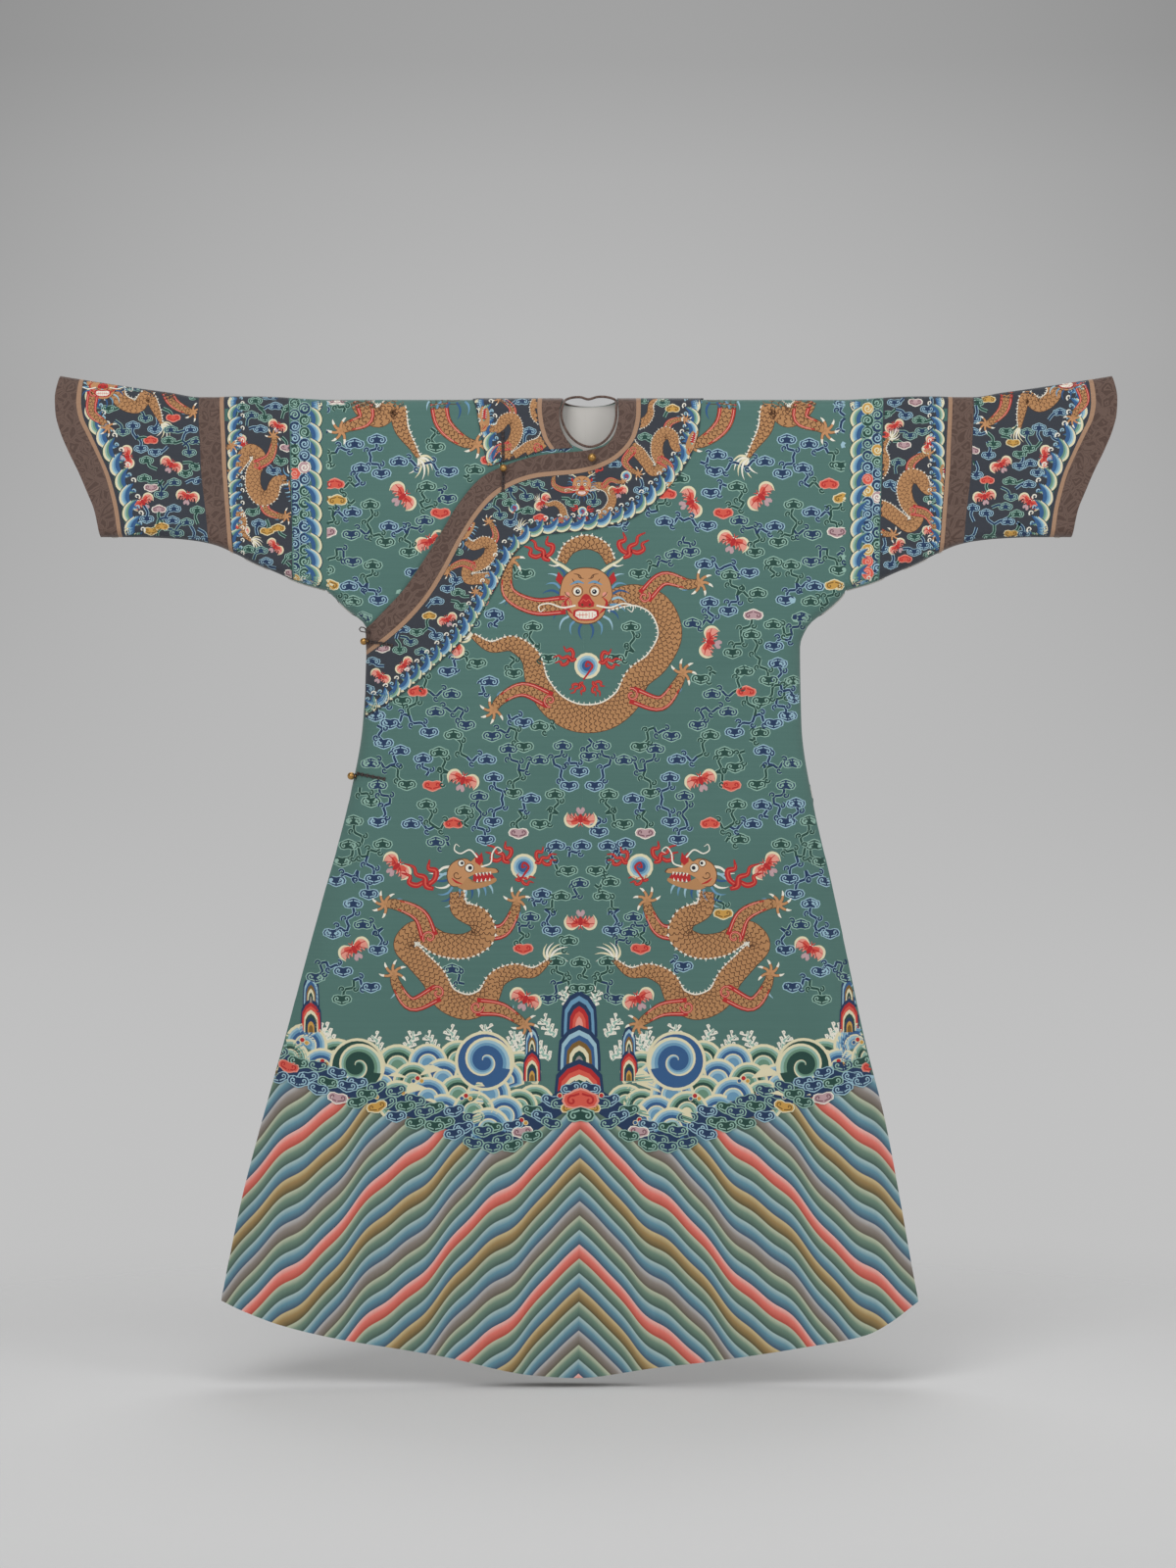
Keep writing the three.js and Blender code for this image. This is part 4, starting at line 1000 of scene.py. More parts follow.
def spiral(x, z, inner, outer, start, end, steps=14):
    angle, reach = np.radians(np.linspace(start, end, steps)), np.linspace(inner, outer, steps)
    return np.c_[x + reach * np.cos(angle), z + reach * np.sin(angle)]


# A cloud head's outline: two lobes under a hump.
HEAD = np.array([(0, -5.4), (6, -6.8), (11.5, -5.6), (14.3, -1), (13, 4), (8.4, 5.6), (5, 7.6), (0, 9.2),
                 (-5, 7.6),
                 (-8.4, 5.6), (-13, 4), (-14.3, -1), (-11.5, -5.6), (-6, -6.8)])
# Tones of a cloud: its dark body, its light edge and its filling, if it has one.
TONES = {
    "blue": ("deep", "sky", None), "green": ("pine", "mint", None), "teal": ("deep", "mint", None),
    "coral": ("red", "rose", "coral"), "ochre": ("mustard", "cream", "ochre"),
    "mauve": ("plum", "white", "mauve"),
}


def cloud_lines(pen, path, tone, on, size=1.0):
    dark, light = TONES[tone][:2]
    pen.ribbon(path, 5.6 * size, light, on)
    pen.ribbon(path, 3.5 * size, dark, on + 1)


def ruyi(cloth, x, z, turn, size, tone, on=2):
    """A cloud head with two curls."""
    dark, light, filling = TONES[tone]
    pen = cloth.at(x, z, turn, size)
    pen.patch(HEAD, light, on)
    pen.patch(HEAD * [0.89, 0.82], filling or dark, on + 1)
    for side in (1, -1):
        coil = np.vstack([spiral(6.6, -0.6, 0.5, 4.1, -270, 110, 11), [(1.0, 4.6)]]) * [side, 1]
        pen.ribbon(coil, 1.6, dark if filling else light, on + 2)


def cloud(cloth, x, z, arms):
    """A group of cloud heads on bent stems. Each arm has its direction, length, bend and tone."""
    pen = cloth.at(x, z)
    for angle, length, bend, tone in arms:
        c, s = math.cos(angle), math.sin(angle)
        stem_tone = tone if TONES[tone][2] is None else "green"
        waypoints = [(0, 0), (length * 0.3, bend), (length * 0.62, -bend * 0.7), (length, 0)]
        path = line(turned(waypoints, 0, 0, angle), 4)
        cloud_lines(pen, path, stem_tone, 0)
        for along, aside, start in ((0.32, 1.7, 200), (0.68, -1.5, 20)):
            u, v = length * along, bend * aside
            turn = math.degrees(angle) + (start if bend > 0 else start + 180)
            coil = spiral(u * c - v * s, u * s + v * c, 1.0, 4.4, turn, turn + 300, 8)
            cloud_lines(pen, coil, stem_tone, 2, 0.72)
        turn = 0 if s > -0.2 else math.pi
        ruyi(cloth, x + (length + 3) * c, z + (length + 3) * s, turn, 1.04, tone)


def bat(cloth, x, z, turn, size=1.0):
    pen = cloth.at(x, z, turn, size)
    pen.take(0, 0, 21)
    pen.patch(both([(0, -12), (2.5, -16), (5.5, -15), (6.5, -11), (3, -6)]), "mauve", 0)
    for side in (1, -1):
        flip = np.array([side, 1])
        wing = np.array([(0, 5), (6, 10), (13, 12), (20, 8), (21, 0), (18, -7), (15, 0), (12.5, -8),
                         (9.5, -1),
                         (7, -8), (4, -1), (1, -3)]) * flip
        pen.patch(wing, "rose", 1)
        patch = np.array([(1, 4), (6, 9), (12, 9), (14, 5), (10, 1), (6, -3), (1, -3)])
        pen.patch(patch * flip, "coral", 2)
        for tip_x, tip_z in ((15, -6), (9.5, -7), (20, 4)):
            vein = np.array([(4, 3), (tip_x * 0.6, tip_z * 0.4 + 3), (tip_x, tip_z)])
            pen.ribbon(vein * flip, [2.0, 1.5, 0.8], "red", 3)
        rim = [(4, 8.5, 1.0), (12, 12.3, 2.8), (19.6, 9.2, 3.6), (22.6, 0.5, 3.0), (18.5, -8.5, 0.8)]
        edge = line(rim, 4)
        pen.ribbon(edge[:, :2] * flip, edge[:, 2], "cream", 3)
    pen.patch([(0, -7), (3, -3), (3.4, 3), (2, 8), (0, 10), (-2, 8), (-3.4, 3), (-3, -3)], "red", 4)
    for side in (1, -1):
        pen.disc(side * 1.7, 7.2, 0.9, "white", 5)
        pen.ribbon([(side * 1, 9), (side * 3.4, 13)], [1.6, 0.4], "coral", 4)


def flame(pen, x, z, turn=0.0, size=1.0, mirror=False):
    """A forked flame, its foot at x, z."""
    c, s = math.cos(turn) * size, math.sin(turn) * size
    flip = -1 if mirror else 1
    for path in (
        [(0, 0, 2.5), (6, 8, 4.5), (2, 18, 4), (9, 27, 3), (7, 36, 2), (15, 46, 0.5)],
        [(4, 8, 3.5), (-8, 10, 4), (-14, 18, 4.5), (-8, 25, 3), (-15, 34, 0.4)],
        [(6, 14, 3), (16, 15, 4), (22, 23, 3.5), (17, 29, 2.4), (24, 38, 0.4)],
    ):
        drawn = line(path, 5)
        u, v = drawn[:, 0] * flip, drawn[:, 1]
        points = np.c_[x + u * c - v * s, z + u * s + v * c]
        pen.ribbon(points, drawn[:, 2] * size * 1.5 + 1, "red", 1)
        pen.ribbon(points[1:-2], drawn[1:-2, 2] * size * 0.45, "coral", 2)


def pearl(pen, x, z):
    radius = 19.0
    for share, ink, on in ((1.0, "cream", 1), (0.78, "sky", 2), (0.6, "water", 3), (0.42, "blue", 4)):
        pen.disc(x, z, radius * share, ink, on)
    pen.stroke([(x + radius * 0.16, z + radius * 0.02, 2), (x - radius * 0.12, z - 1, 2.6),
                (x, z + radius * 0.3, 3),
                  (x + radius * 0.38, z, 3.4), (x + radius * 0.1, z - radius * 0.5, 3), (x - radius * 0.3,
                  z - radius * 1.05, 2.4)], 6, "red", 5)


def turned(rows, x, z, turn):
    """Rows of x, z and any more columns, turned by an angle and moved to a place."""
    c, s = math.cos(turn), math.sin(turn)
    return [(x + u * c - v * s, z + u * s + v * c, *more) for u, v, *more in rows]


def tufts(pen, rows, on=0):
    """Tapered locks of hair, in rows of a place, a direction in degrees, a length, a bend and a colour."""
    for x, z, angle, length, bend, ink in rows:
        lock = ((0, 0, 3.4), (length * 0.4, bend, 3.2), (length * 0.75, bend * 0.6, 2.0),
                (length, -bend * 0.4, 0.3))
        pen.stroke(turned(lock, x, z, math.radians(angle)), 4, ink, on)


def evenly(path, step):
    """A path with its further columns at even steps along it, and its side direction."""
    run = np.r_[0, np.cumsum(np.linalg.norm(np.diff(path[:, :2], axis=0), axis=1))]
    marks = np.arange(0, run[-1], step)
    rows = np.stack([np.interp(marks, run, column) for column in path.T], 1)
    along = np.gradient(rows[:, :2], axis=0)
    along /= np.linalg.norm(along, axis=1)[:, None]
    return rows, along, np.c_[-along[:, 1], along[:, 0]]


def scaled_limb(pen, path, on, scale=8.0, spine=0):
    """A dragon's body or leg: tapered, outlined, with scales and, on one side, a white spine."""
    pen.ribbon(path[:, :2], path[:, 2] + 1.8, "scale", on)
    pen.ribbon(path[:, :2], path[:, 2], "gold", on + 1)
    rows, along, side = evenly(path, scale * 0.8)
    arcs = []
    for k, (row, forward, across) in enumerate(zip(rows, along, side)):
        count = max(1, round(row[2] / scale))
        width = (row[2] - 1) / count
        for j in range(count + k % 2):
            middle = (j + 0.5 - (k % 2) * 0.5) * width - row[2] / 2 + 0.5
            q = np.array([-0.5, -0.2, 0.2, 0.5])
            offset = np.clip(middle + q * width, -row[2] / 2, row[2] / 2)
            ahead = scale * 0.55 * (1 - (2 * q) ** 2)
            arcs.append(row[:2] + across * offset[:, None] + forward * ahead[:, None])
    pen.ribbons(np.array(arcs), 1.3, "scale", on + 2)
    if spine:
        rows, along, side = evenly(path, 5.6)
        edge = rows[:, :2] + side * spine * (rows[:, 2:3] / 2)
        pen.ribbons(np.stack([edge - along * 2.1, edge + along * 2.1], 1), 2.0, "white", on + 3)
        pen.ribbons(np.stack([edge, edge + side * spine * 3.8], 1)[::2], [1.9, 0.6], "white", on + 3)
    for row in rows[:: max(1, len(rows) // 14)]:
        pen.take(row[0], row[1], row[2] / 2 + 4)


def claw(pen, x, z, angle, on):
    pen.take(x, z, 15)
    pen.disc(x, z, 6.0, "gold", on)
    for spread in (-120, -62, -12, 38, 92):
        turn = math.radians(angle + spread)
        finger = line(turned(((2, 0, 4.4), (8, 1.6, 3.6), (14, 0, 3.0)), x, z, turn), 3)
        pen.ribbon(finger[:, :2], finger[:, 2] + 0.9, "scale", on)
        pen.ribbon(finger[:, :2], finger[:, 2], "pale_gold", on + 1)
        pen.stroke(turned(((13.5, 0, 3.4), (17, -1.4, 3.0), (20, -4, 0.6)), x, z, turn), 3, "white", on + 2)


def leg(pen, path, angle, on=3):
    """A leg from the body out to its claw, with a red swirl on the thigh and hair at the joint."""
    drawn = line(path, 6)
    scaled_limb(pen, drawn, on)
    swirl = drawn[: len(drawn) * 2 // 3]
    for side in (0.4, -0.4):
        pen.ribbon(swirl[:, :2], np.linspace(6.5, 1.6, len(swirl)), "red", on + 3, swirl[:, 2] * side)
        pen.ribbon(swirl[1:-1, :2], 1.2, "rose", on + 4, swirl[1:-1, 2] * side)
    root = spiral(path[0][0], path[0][1], 2.0, path[0][2] * 0.42, angle, angle + 400, 14)
    pen.ribbon(root, 3.2, "red", on + 3)
    pen.ribbon(root, 1.0, "rose", on + 4)
    bend = path[len(path) // 2]
    tufts(pen, [(bend[0], bend[1], angle + 150 + 24 * i, 22 - 3 * i, 3, ink) for i, ink in enumerate(
        ("sky", "blue", "white", "water"))], on - 2)
    claw(pen, path[-1][0], path[-1][1], angle, on + 3)


def tail(pen, x, z, angle):
    for i, spread in enumerate((-46, -26, -8, 10, 30, 52)):
        tufts(pen, [(x, z, angle + spread, 34 - abs(i - 2) * 3, 5, ("white", "cream")[i % 2])], 1)


def frontal_head(pen, x, z, size=1.0):
    """A dragon's face from the front."""
    pen.take(x, z, 48 * size)
    inner = pen.cloth.at(*pen.lay([(x, z)])[0], 0, pen.size * size)
    locks = []
    for side in (1, -1):
        for i, (px, pz, angle) in enumerate((
            (30, 24, 52), (34, 18, 34), (37, 10, 18), (38, 2, 4), (37, -6, -8), (34, -14, -20),
            (30, -22, -34), (24, -30, -52), (15, -36, -70), (5, -39, -84),
        )):
            angle, ink = (angle if side > 0 else 180 - angle), ("blue", "sky", "water")[i % 3]
            locks.append((side * px, pz, angle, 22 + 3 * (i % 2), side * 4, ink))
    tufts(inner, locks, 4)
    for side in (1, -1):
        inner.stroke([(side * 20, 32, 5), (side * 34, 42, 4.4), (side * 48, 50, 3), (side * 58, 60, 1)], 5,
                     "cream", 5)
        inner.stroke([(side * 38, 44, 3), (side * 46, 42, 2), (side * 54, 44, 0.6)], 3, "white", 5)
        inner.patch([(side * 30, 22), (side * 40, 34), (side * 44, 22), (side * 36, 14)], "red", 5)
    face = rounded(both([(0, -41), (14, -38), (25, -28), (29, -14), (37, -4), (36, 12), (31, 26), (18, 36),
                         (0, 39)]))
    inner.patch(face * 1.03, "scale", 5)
    inner.patch(face, "pale_gold", 6)
    for side in (1, -1):
        inner.disc(side * 12.5, 6, 8.2, "scale", 7)
        inner.disc(side * 12.5, 6, 7.2, "pale_gold", 8)
        inner.disc(side * 12.5, 5.4, 5.8, "white", 9)
        inner.disc(side * 12, 5, 3.4, "night", 10)
        inner.disc(side * 11.4, 5.8, 1.0, "white", 11)
        for low, high, wide in ((-4, 2, 31), (16, 21, 20), (24, 27, 12)):
            inner.stroke([(side * (wide - 9), low, 0.5), (side * (wide - 3), high - 2, 1.5),
                          (side * wide, high + 3, 0.5)], 4, "scale", 9)
        inner.stroke([(side * 3, 17, 1), (side * 12, 19.5, 3.6), (side * 23, 15, 1)], 5, "water", 9)
        inner.stroke([(side * 6, 24, 0.6), (side * 10, 29, 1.4), (side * 18, 31, 0.5)], 4, "scale", 9)
        inner.stroke([(side * 24, -3, 1), (side * 30, -10, 3.4), (side * 26, -20, 3.6),
                      (side * 19, -27, 1)], 4, "red", 8)
        inner.disc(side * 27, 1, 3.4, "rose", 8)
        inner.stroke([(side * 15, -15, 2.4), (side * 34, -18, 2.4), (side * 54, -12, 2),
                      (side * 68, -16, 1.8),
                        (side * 66, -24, 1.4), (side * 59, -19, 0.8)], 5, "white", 12)
    nose = both([(0, -17), (5, -18), (11, -16.5), (12, -11), (8, -6), (6, -2), (3, 1), (0, 2)])
    inner.patch(nose, "red", 9)
    inner.ribbon(line([(-8, -11), (-4, -6), (0, -9), (4, -6), (8, -11)], 3), 1.3, "coral", 10)
    for side in (1, -1):
        inner.disc(side * 5.4, -14, 1.7, "scale", 10)
    mouth = both([(0, -37), (12, -36), (19, -30), (18, -22), (12, -20), (0, -21)])
    inner.patch(mouth, "red", 9)
    inner.patch(mouth * [0.82, 0.72] + [0, -8.1], "white", 10)
    for tooth in (-9, -4.5, 0, 4.5, 9):
        inner.ribbon([(tooth, -25), (tooth, -33)], 0.7, "coral", 11)
    inner.ribbon([(-14, -29), (0, -28), (14, -29)], 0.9, "coral", 11)


def frontal_dragon(cloth, x, z, turn=0.0, size=1.0, mirror=False, scale=8.0):
    """A coiled dragon seen from the front, with its pearl below its chin."""
    pen = cloth.at(x, z, turn, size, mirror)
    arch = line([(-36, 64, 14), (-24, 84, 18), (0, 93, 20), (24, 84, 18), (36, 64, 14)], 7)
    scaled_limb(pen, arch, 0, scale, 1)
    body = line([(30, 8, 28), (72, 16, 30), (106, 0, 33), (121, -40, 34), (102, -80, 34), (74, -104, 36),
                 (58, -136, 38), (28, -158, 40), (-12, -161, 40), (-46, -144, 37), (-70, -110, 32),
                 (-80, -74, 27),
                 (-106, -54, 22), (-138, -58, 15), (-164, -42, 7)], 8)
    tail(pen, -164, -42, 150)
    scaled_limb(pen, body, 1, scale, -1)
    leg(pen, [(84, 14, 22), (112, 40, 20), (148, 32, 14), (164, 34, 9)], 5)
    leg(pen, [(-30, 2, 26), (-76, 0, 24), (-112, 20, 19), (-112, 56, 11), (-108, 66, 8)], 82)
    leg(pen, [(66, -128, 24), (108, -140, 21), (132, -112, 14), (140, -96, 9)], 66)
    leg(pen, [(-52, -136, 24), (-92, -120, 20), (-124, -136, 13), (-134, -150, 9)], 232)
    frontal_head(pen, 0, 16)
    pearl(pen, 2, -86)
    pen.take(2, -86, 30)
    flame(pen, 18, -80, -1.2, 0.7)
    flame(pen, -14, -76, 1.2, 0.7, True)
    flame(pen, -52, 66, 0.5, 0.95, True)
    flame(pen, 54, 70, -0.4, 1.0)
    pen.take(-66, 84, 30)
    pen.take(70, 90, 30)
    flame(pen, -4, -110, 2.6, 0.5)
    flame(pen, 10, -108, -2.4, 0.5)


def profile_head(pen, x, z, turn):
    """A dragon's head from the side, looking along +x."""
    pen.take(x + 4, z, 40)
    place = pen.lay([(x, z)])[0]
    inner = pen.cloth.at(*place, 0, 1)
    c, s = math.cos(turn), math.sin(turn)
    inner.turn = np.array([[c, s], [-s, c]]) @ pen.turn
    tufts(inner, [(-24, 8 - 7 * i, 168 + 12 * i, 30 - 2 * i, 4, ink) for i, ink in enumerate(
        ("sky", "blue", "white", "water", "blue", "sky"))], 5)
    tufts(inner, [(-14 + 8 * i, -17 + i, 250 + 9 * i, 18, 2, ink) for i, ink in enumerate(
        ("water", "sky", "blue", "sky", "water", "sky"))], 5)
    for dz in (0, 9):
        inner.stroke([(-16, 16 - dz, 4), (-34, 16 - dz, 3.6), (-46, 9 - dz, 2.4), (-56, 10 - dz, 0.8)], 5,
                     ("white", "sky")[dz > 0], 6)
    inner.patch([(8, 3), (34, 1), (38, -6), (24, -10), (6, -8)], "red", 6)
    jaw = rounded([(-20, -8), (-10, -18), (10, -19), (28, -16), (40, -10), (39, -6), (24, -10), (6, -9),
                   (-4, 0)], 3)
    inner.patch(jaw, "gold", 8)
    skull = rounded([(-26, -10), (-30, 4), (-24, 18), (-12, 25), (0, 25), (6, 21), (13, 26), (21, 20),
                     (24, 11), (40, 7),
                     (43, 2), (36, 1), (20, 4), (6, 1), (-4, -4), (-12, -12)], 3)
    inner.patch(skull * 1.04, "scale", 8)
    inner.patch(skull, "pale_gold", 9)
    inner.patch([(12, 20), (14, 34), (19, 28), (23, 33), (24, 20), (18, 14)], "red", 10)
    inner.ribbons([[(t, 3.5), (t + 1, -1)] for t in (12, 17, 22, 27, 32)], [2.8, 0.6], "white", 11)
    inner.ribbons([[(t, -9.5), (t + 1, -5)] for t in (12, 18, 24, 30)], [2.6, 0.6], "white", 11)
    for ex, ez, r in ((3, 12, 5.8), (-8, 20, 4.4)):
        inner.disc(ex, ez, r + 1.1, "scale", 10)
        inner.disc(ex, ez, r, "white", 11)
        inner.disc(ex + 1, ez, r * 0.5, "night", 12)
    inner.ribbon(spiral(-16, 4, 1.5, 7, 0, 330, 10), 1.4, "scale", 10)
    inner.stroke([(-10, -10, 1), (-18, -6, 3), (-24, 0, 1)], 4, "red", 10)
    for path in ([(16, 26, 2.4), (6, 38, 2.2), (-8, 34, 2), (-16, 40, 1.8), (-13, 48, 1.2), (-8, 44, 0.7)],
                 [(20, 12, 2.4), (34, 16, 2.2), (38, 30, 2), (46, 38, 1.8), (52, 32, 1.2), (46, 29, 0.7)]):
        inner.stroke(path, 5, "white", 12)


def profile_dragon(cloth, x, z, turn=0.0, size=1.0, mirror=False, scale=8.0, fires=True):
    """A striding dragon seen from the side, looking along +x with its pearl ahead."""
    pen = cloth.at(x, z, turn, size, mirror)
    body = line([(-12, 62, 20), (-8, 38, 26), (20, 22, 32), (26, 0, 34), (2, -16, 35), (-34, -14, 34),
                 (-70, 4, 32), (-88, -14, 31), (-70, -36, 32), (-46, -62, 35), (-28, -92, 36),
                 (4, -104, 36), (30, -92, 32),
                 (46, -64, 26), (72, -52, 20), (98, -54, 14), (120, -38, 6)], 8)
    tail(pen, 120, -38, 48)
    leg(pen, [(16, 4, 24), (54, 6, 20), (72, 36, 13), (74, 50, 9)], 82, 0)
    scaled_limb(pen, body, 2, scale, 1)
    leg(pen, [(-52, -4, 25), (-66, 28, 21), (-102, 44, 14), (-116, 44, 9)], 178)
    leg(pen, [(-40, -84, 25), (-78, -100, 20), (-100, -72, 13), (-104, -56, 9)], 100)
    leg(pen, [(16, -104, 25), (52, -108, 20), (76, -122, 13), (86, -130, 9)], -40)
    profile_head(pen, 4, 84, 0.1)
    if fires:
        pearl(pen, 84, 98)
        pen.take(84, 98, 26)
        flame(pen, 64, 104, 0.6, 0.85, True)
        flame(pen, 100, 104, -0.9, 0.7)
        flame(pen, 72, 80, -1.2, 0.6)
        flame(pen, -46, 66, 0.55, 1.15, True)
        pen.take(-64, 92, 34)


MIRROR_SHIFT = 12  # a place at x on one half is mirrored to -x less this


def free_place(cloth, x, z, radius):
    """Whether nothing that's drawn already is too near."""
    if len(cloth.map) != len(cloth.taken):
        cloth.map = np.array(cloth.taken)
    return bool((np.hypot(cloth.map[:, 0] - x, cloth.map[:, 1] - z) > cloth.map[:, 2] + radius).all())


def scatter_clouds(cloth, rng, low, high, allowed, tries=2600, least=2, reach=30.0, mirrored=True):
    """Cloud groups wherever there is room, each mirrored about the middle seam if asked."""
    for _ in range(tries):
        x, z = rng.uniform(*low), rng.uniform(*high)
        if not allowed(x, z) or not free_place(cloth, x, z, 3):
            continue
        start, arms, heads = rng.uniform(0, 2 * math.pi), [], []
        wanted = rng.choice([2, 3, 3, 4])
        for i in range(wanted):
            angle = start + i * 2 * math.pi / wanted + rng.uniform(-0.3, 0.3)
            length = rng.uniform(0.7, 1.15) * reach
            hx, hz = x + (length + 3) * math.cos(angle), z + (length + 3) * math.sin(angle)
            if not allowed(hx, hz) or not free_place(cloth, hx, hz, 11.5):
                continue
            if any(math.hypot(hx - ox, hz - oz) < 27 for ox, oz in heads):
                continue
            heads.append((hx, hz))
            tone = rng.choice(list(TONES), p=[0.42, 0.26, 0.23, 0.04, 0.03, 0.02])
            arms.append((angle, length, rng.choice([-5.0, 5.0]), str(tone)))
        if len(arms) < least:
            continue
        cloud(cloth, x, z, arms)
        cloth.taken += [(hx, hz, 11) for hx, hz in heads] + [(x, z, 6)]
        for share in (0.35, 0.7):
            cloth.taken += [(lerp(x, hx, share), lerp(z, hz, share), 5) for hx, hz in heads]
        if mirrored:
            arms = [(math.pi - angle, length, -bend, tone) for angle, length, bend, tone in arms]
            cloud(cloth, -x - MIRROR_SHIFT, z, arms)


def below_shoulder(x, z):
    return (z < -0.8) & (edge_distance(x, z)[0] > 0.6)


def within_body(x, z):
    return (-z < hem_drop(x) - 1) & ((abs(x) < ARMHOLE_REACH - 1) | (z < -400))


def on_front(x, z):
    over = np.where(x < seam_x(z), z < closing_edge(x) - 1, True)
    neck = (x < neck_left(-z) + 1) & (x > -60) & (z > -75)
    return below_shoulder(x, z) & over & ~neck & within_body(x, z)


def on_under(x, z):
    shown = (x < -2) & (z > closing_edge(x) + 1) & (x < neck_right(-z) - 1)
    return below_shoulder(x, z) & shown & (abs(x) < ARMHOLE_REACH - 1)


def on_back(x, z):
    ring = ((x - BACK_MIDDLE) / 44) ** 2 + (z / 13) ** 2 > 1
    return below_shoulder(x, z) & ring & within_body(x, z)


def main_lift(x, z):
    return np.where(x < 0, OVERLAP_LIFT, overlap_lift(x))


def no_lift(x, z):
    return np.zeros_like(x)


# Places of the bats on the wearer's left half, each with its turn; the other half mirrors them.
BATS = ((254, -142, 0.9), (212, -208, -0.4), (150, -150, -1.2), (180, -352, 1.3), (166, -552, 0.3),
        (262, -676, 0.8),
        (322, -796, -0.5), (76, -868, 0.4))
MIDDLE_BATS = ((-8, -606), (-8, -754))


def shoulder_dragon(cloth, x, mirror):
    """A dragon that lies over the shoulder, so only its lower half hangs down this side."""
    pen = cloth.at(x, 0, 0, 1, mirror)
    coil = line([(-66, 30, 30), (-56, -10, 30), (-34, -26, 30), (-10, -10, 26), (0, -44, 20), (16, -70, 10),
                 (24, -84, 6)], 8)
    tail(pen, 24, -84, -70)
    scaled_limb(pen, coil, 1, 8.0, 1)
    leg(pen, [(-60, 6, 26), (-52, -28, 22), (-78, -40, 14), (-88, -46, 9)], 200)
    leg(pen, [(52, 8, 26), (60, -36, 24), (90, -62, 16), (108, -66, 9)], -20)
    frontal_head(pen, 74, 34, 1.0)
    flame(pen, 128, -24, -0.5, 0.9)
    pen.take(140, -44, 26)


def green_figures(cloth, seed):
    frontal_dragon(cloth, 0, -300)
    for x, mirror in ((-174, False), (162, True)):
        profile_dragon(cloth, x, -774, 0, 1, mirror)
    for x, mirror in ((-266, False), (258, True)):
        shoulder_dragon(cloth, x, mirror)
    for x, z, turn in BATS:
        bat(cloth, x, z, turn)
        bat(cloth, -x - MIRROR_SHIFT, z, -turn)
    for x, z in MIDDLE_BATS:
        bat(cloth, x, z, math.pi)
    rng, drawn = np.random.default_rng(seed), len(cloth.taken)

    def allowed(x, z):
        side = left_side(-z) if -z > 300 else 392
        return -8 < x < side - 6 and z < 8 and -z < 868

    scatter_clouds(cloth, rng, (0, 440), (-880, 0), allowed)
    cloth.taken += [(-x - MIRROR_SHIFT, z, r) for x, z, r in cloth.taken[drawn:]]

    def either_half(x, z):
        return allowed(x, z) or allowed(-x - MIRROR_SHIFT, z)

    scatter_clouds(cloth, rng, (-440, 440), (-880, 0), either_half, 1100, 1, 22.0, False)


# The band of waves above the stripes, with its mountains, spray and edge of small cloud curls

WAVE_TONES = {
    "green": ("cream", "mint", "leaf", "pine", "cream", "mint", "leaf"),
    "blue": ("cream", "sky", "water", "blue", "cream", "sky", "water"),
}
WAVE_SHARES = (1.0, 0.87, 0.77, 0.65, 0.5, 0.43, 0.3)
# The nested arches of a mountain's tiers, from the top one down.
HILL_INKS = (("deep", "water", "deep", "red", "coral", "rose", "pine", "leaf"),
             ("deep", "sky", "blue", "mustard", "cream", "pine", "stone", "water"),
             ("deep", "red", "coral", "cream", "pine", "deep", "ochre", "mustard"))
BAND_MIDDLE = -8
# The tops of the waves: out is from the middle, drop from the shoulder line.
WAVE_TOPS = columns("out drop", (0, 985), (60, 968), (100, 935), (138, 925), (218, 931), (322, 938),
                    (385, 908), (460, 890))
BIG_CURLS = columns("out drop radius green", (322, 963, 40, 1), (138, 956, 43, 0))
SPRAYS = columns(
    "out drop turn size",
    (36, 912, -0.6, 0.9), (44, 945, -0.7, 1.0), (14, 872, -0.35, 0.8), (92, 905, 0.3, 0.9),
    (104, 940, 0.4, 0.9), (140, 905, 0.2, 0.9), (176, 905, -0.4, 0.9), (205, 915, -0.6, 0.8),
    (250, 912, 0.4, 0.9), (285, 905, -0.4, 0.9), (352, 905, -0.5, 1.0), (366, 880, -0.7, 1.0),
    (372, 858, -0.8, 1.0), (362, 925, -0.5, 0.8),
)


def wave(pen, x, z, radius, tone, on, turn=0.0):
    for i, (share, ink) in enumerate(zip(WAVE_SHARES, WAVE_TONES[tone])):
        outline = spiral(0, 0, radius * share, radius * share, -28, 208, 15)
        pen.patch(turned(outline, x, z, turn), ink, on + i * 0.5)


def big_curl(pen, x, z, radius, tone, on):
    """A large rolling wave: a band in four tones that winds into its middle."""
    pen.disc(x, z, radius, "cream", on)
    pen.disc(x, z, radius * 0.9, WAVE_TONES[tone][3], on + 3)
    coil = spiral(x, z, radius * 0.06, radius * 0.74, -330, 200, 40)
    wide = np.linspace(0.05, 0.46, 40) * radius
    for k, ink in enumerate(WAVE_TONES[tone][:4]):
        pen.ribbon(coil, wide * 0.3, ink, on + 6 + k, wide * (0.25 * k - 0.375))


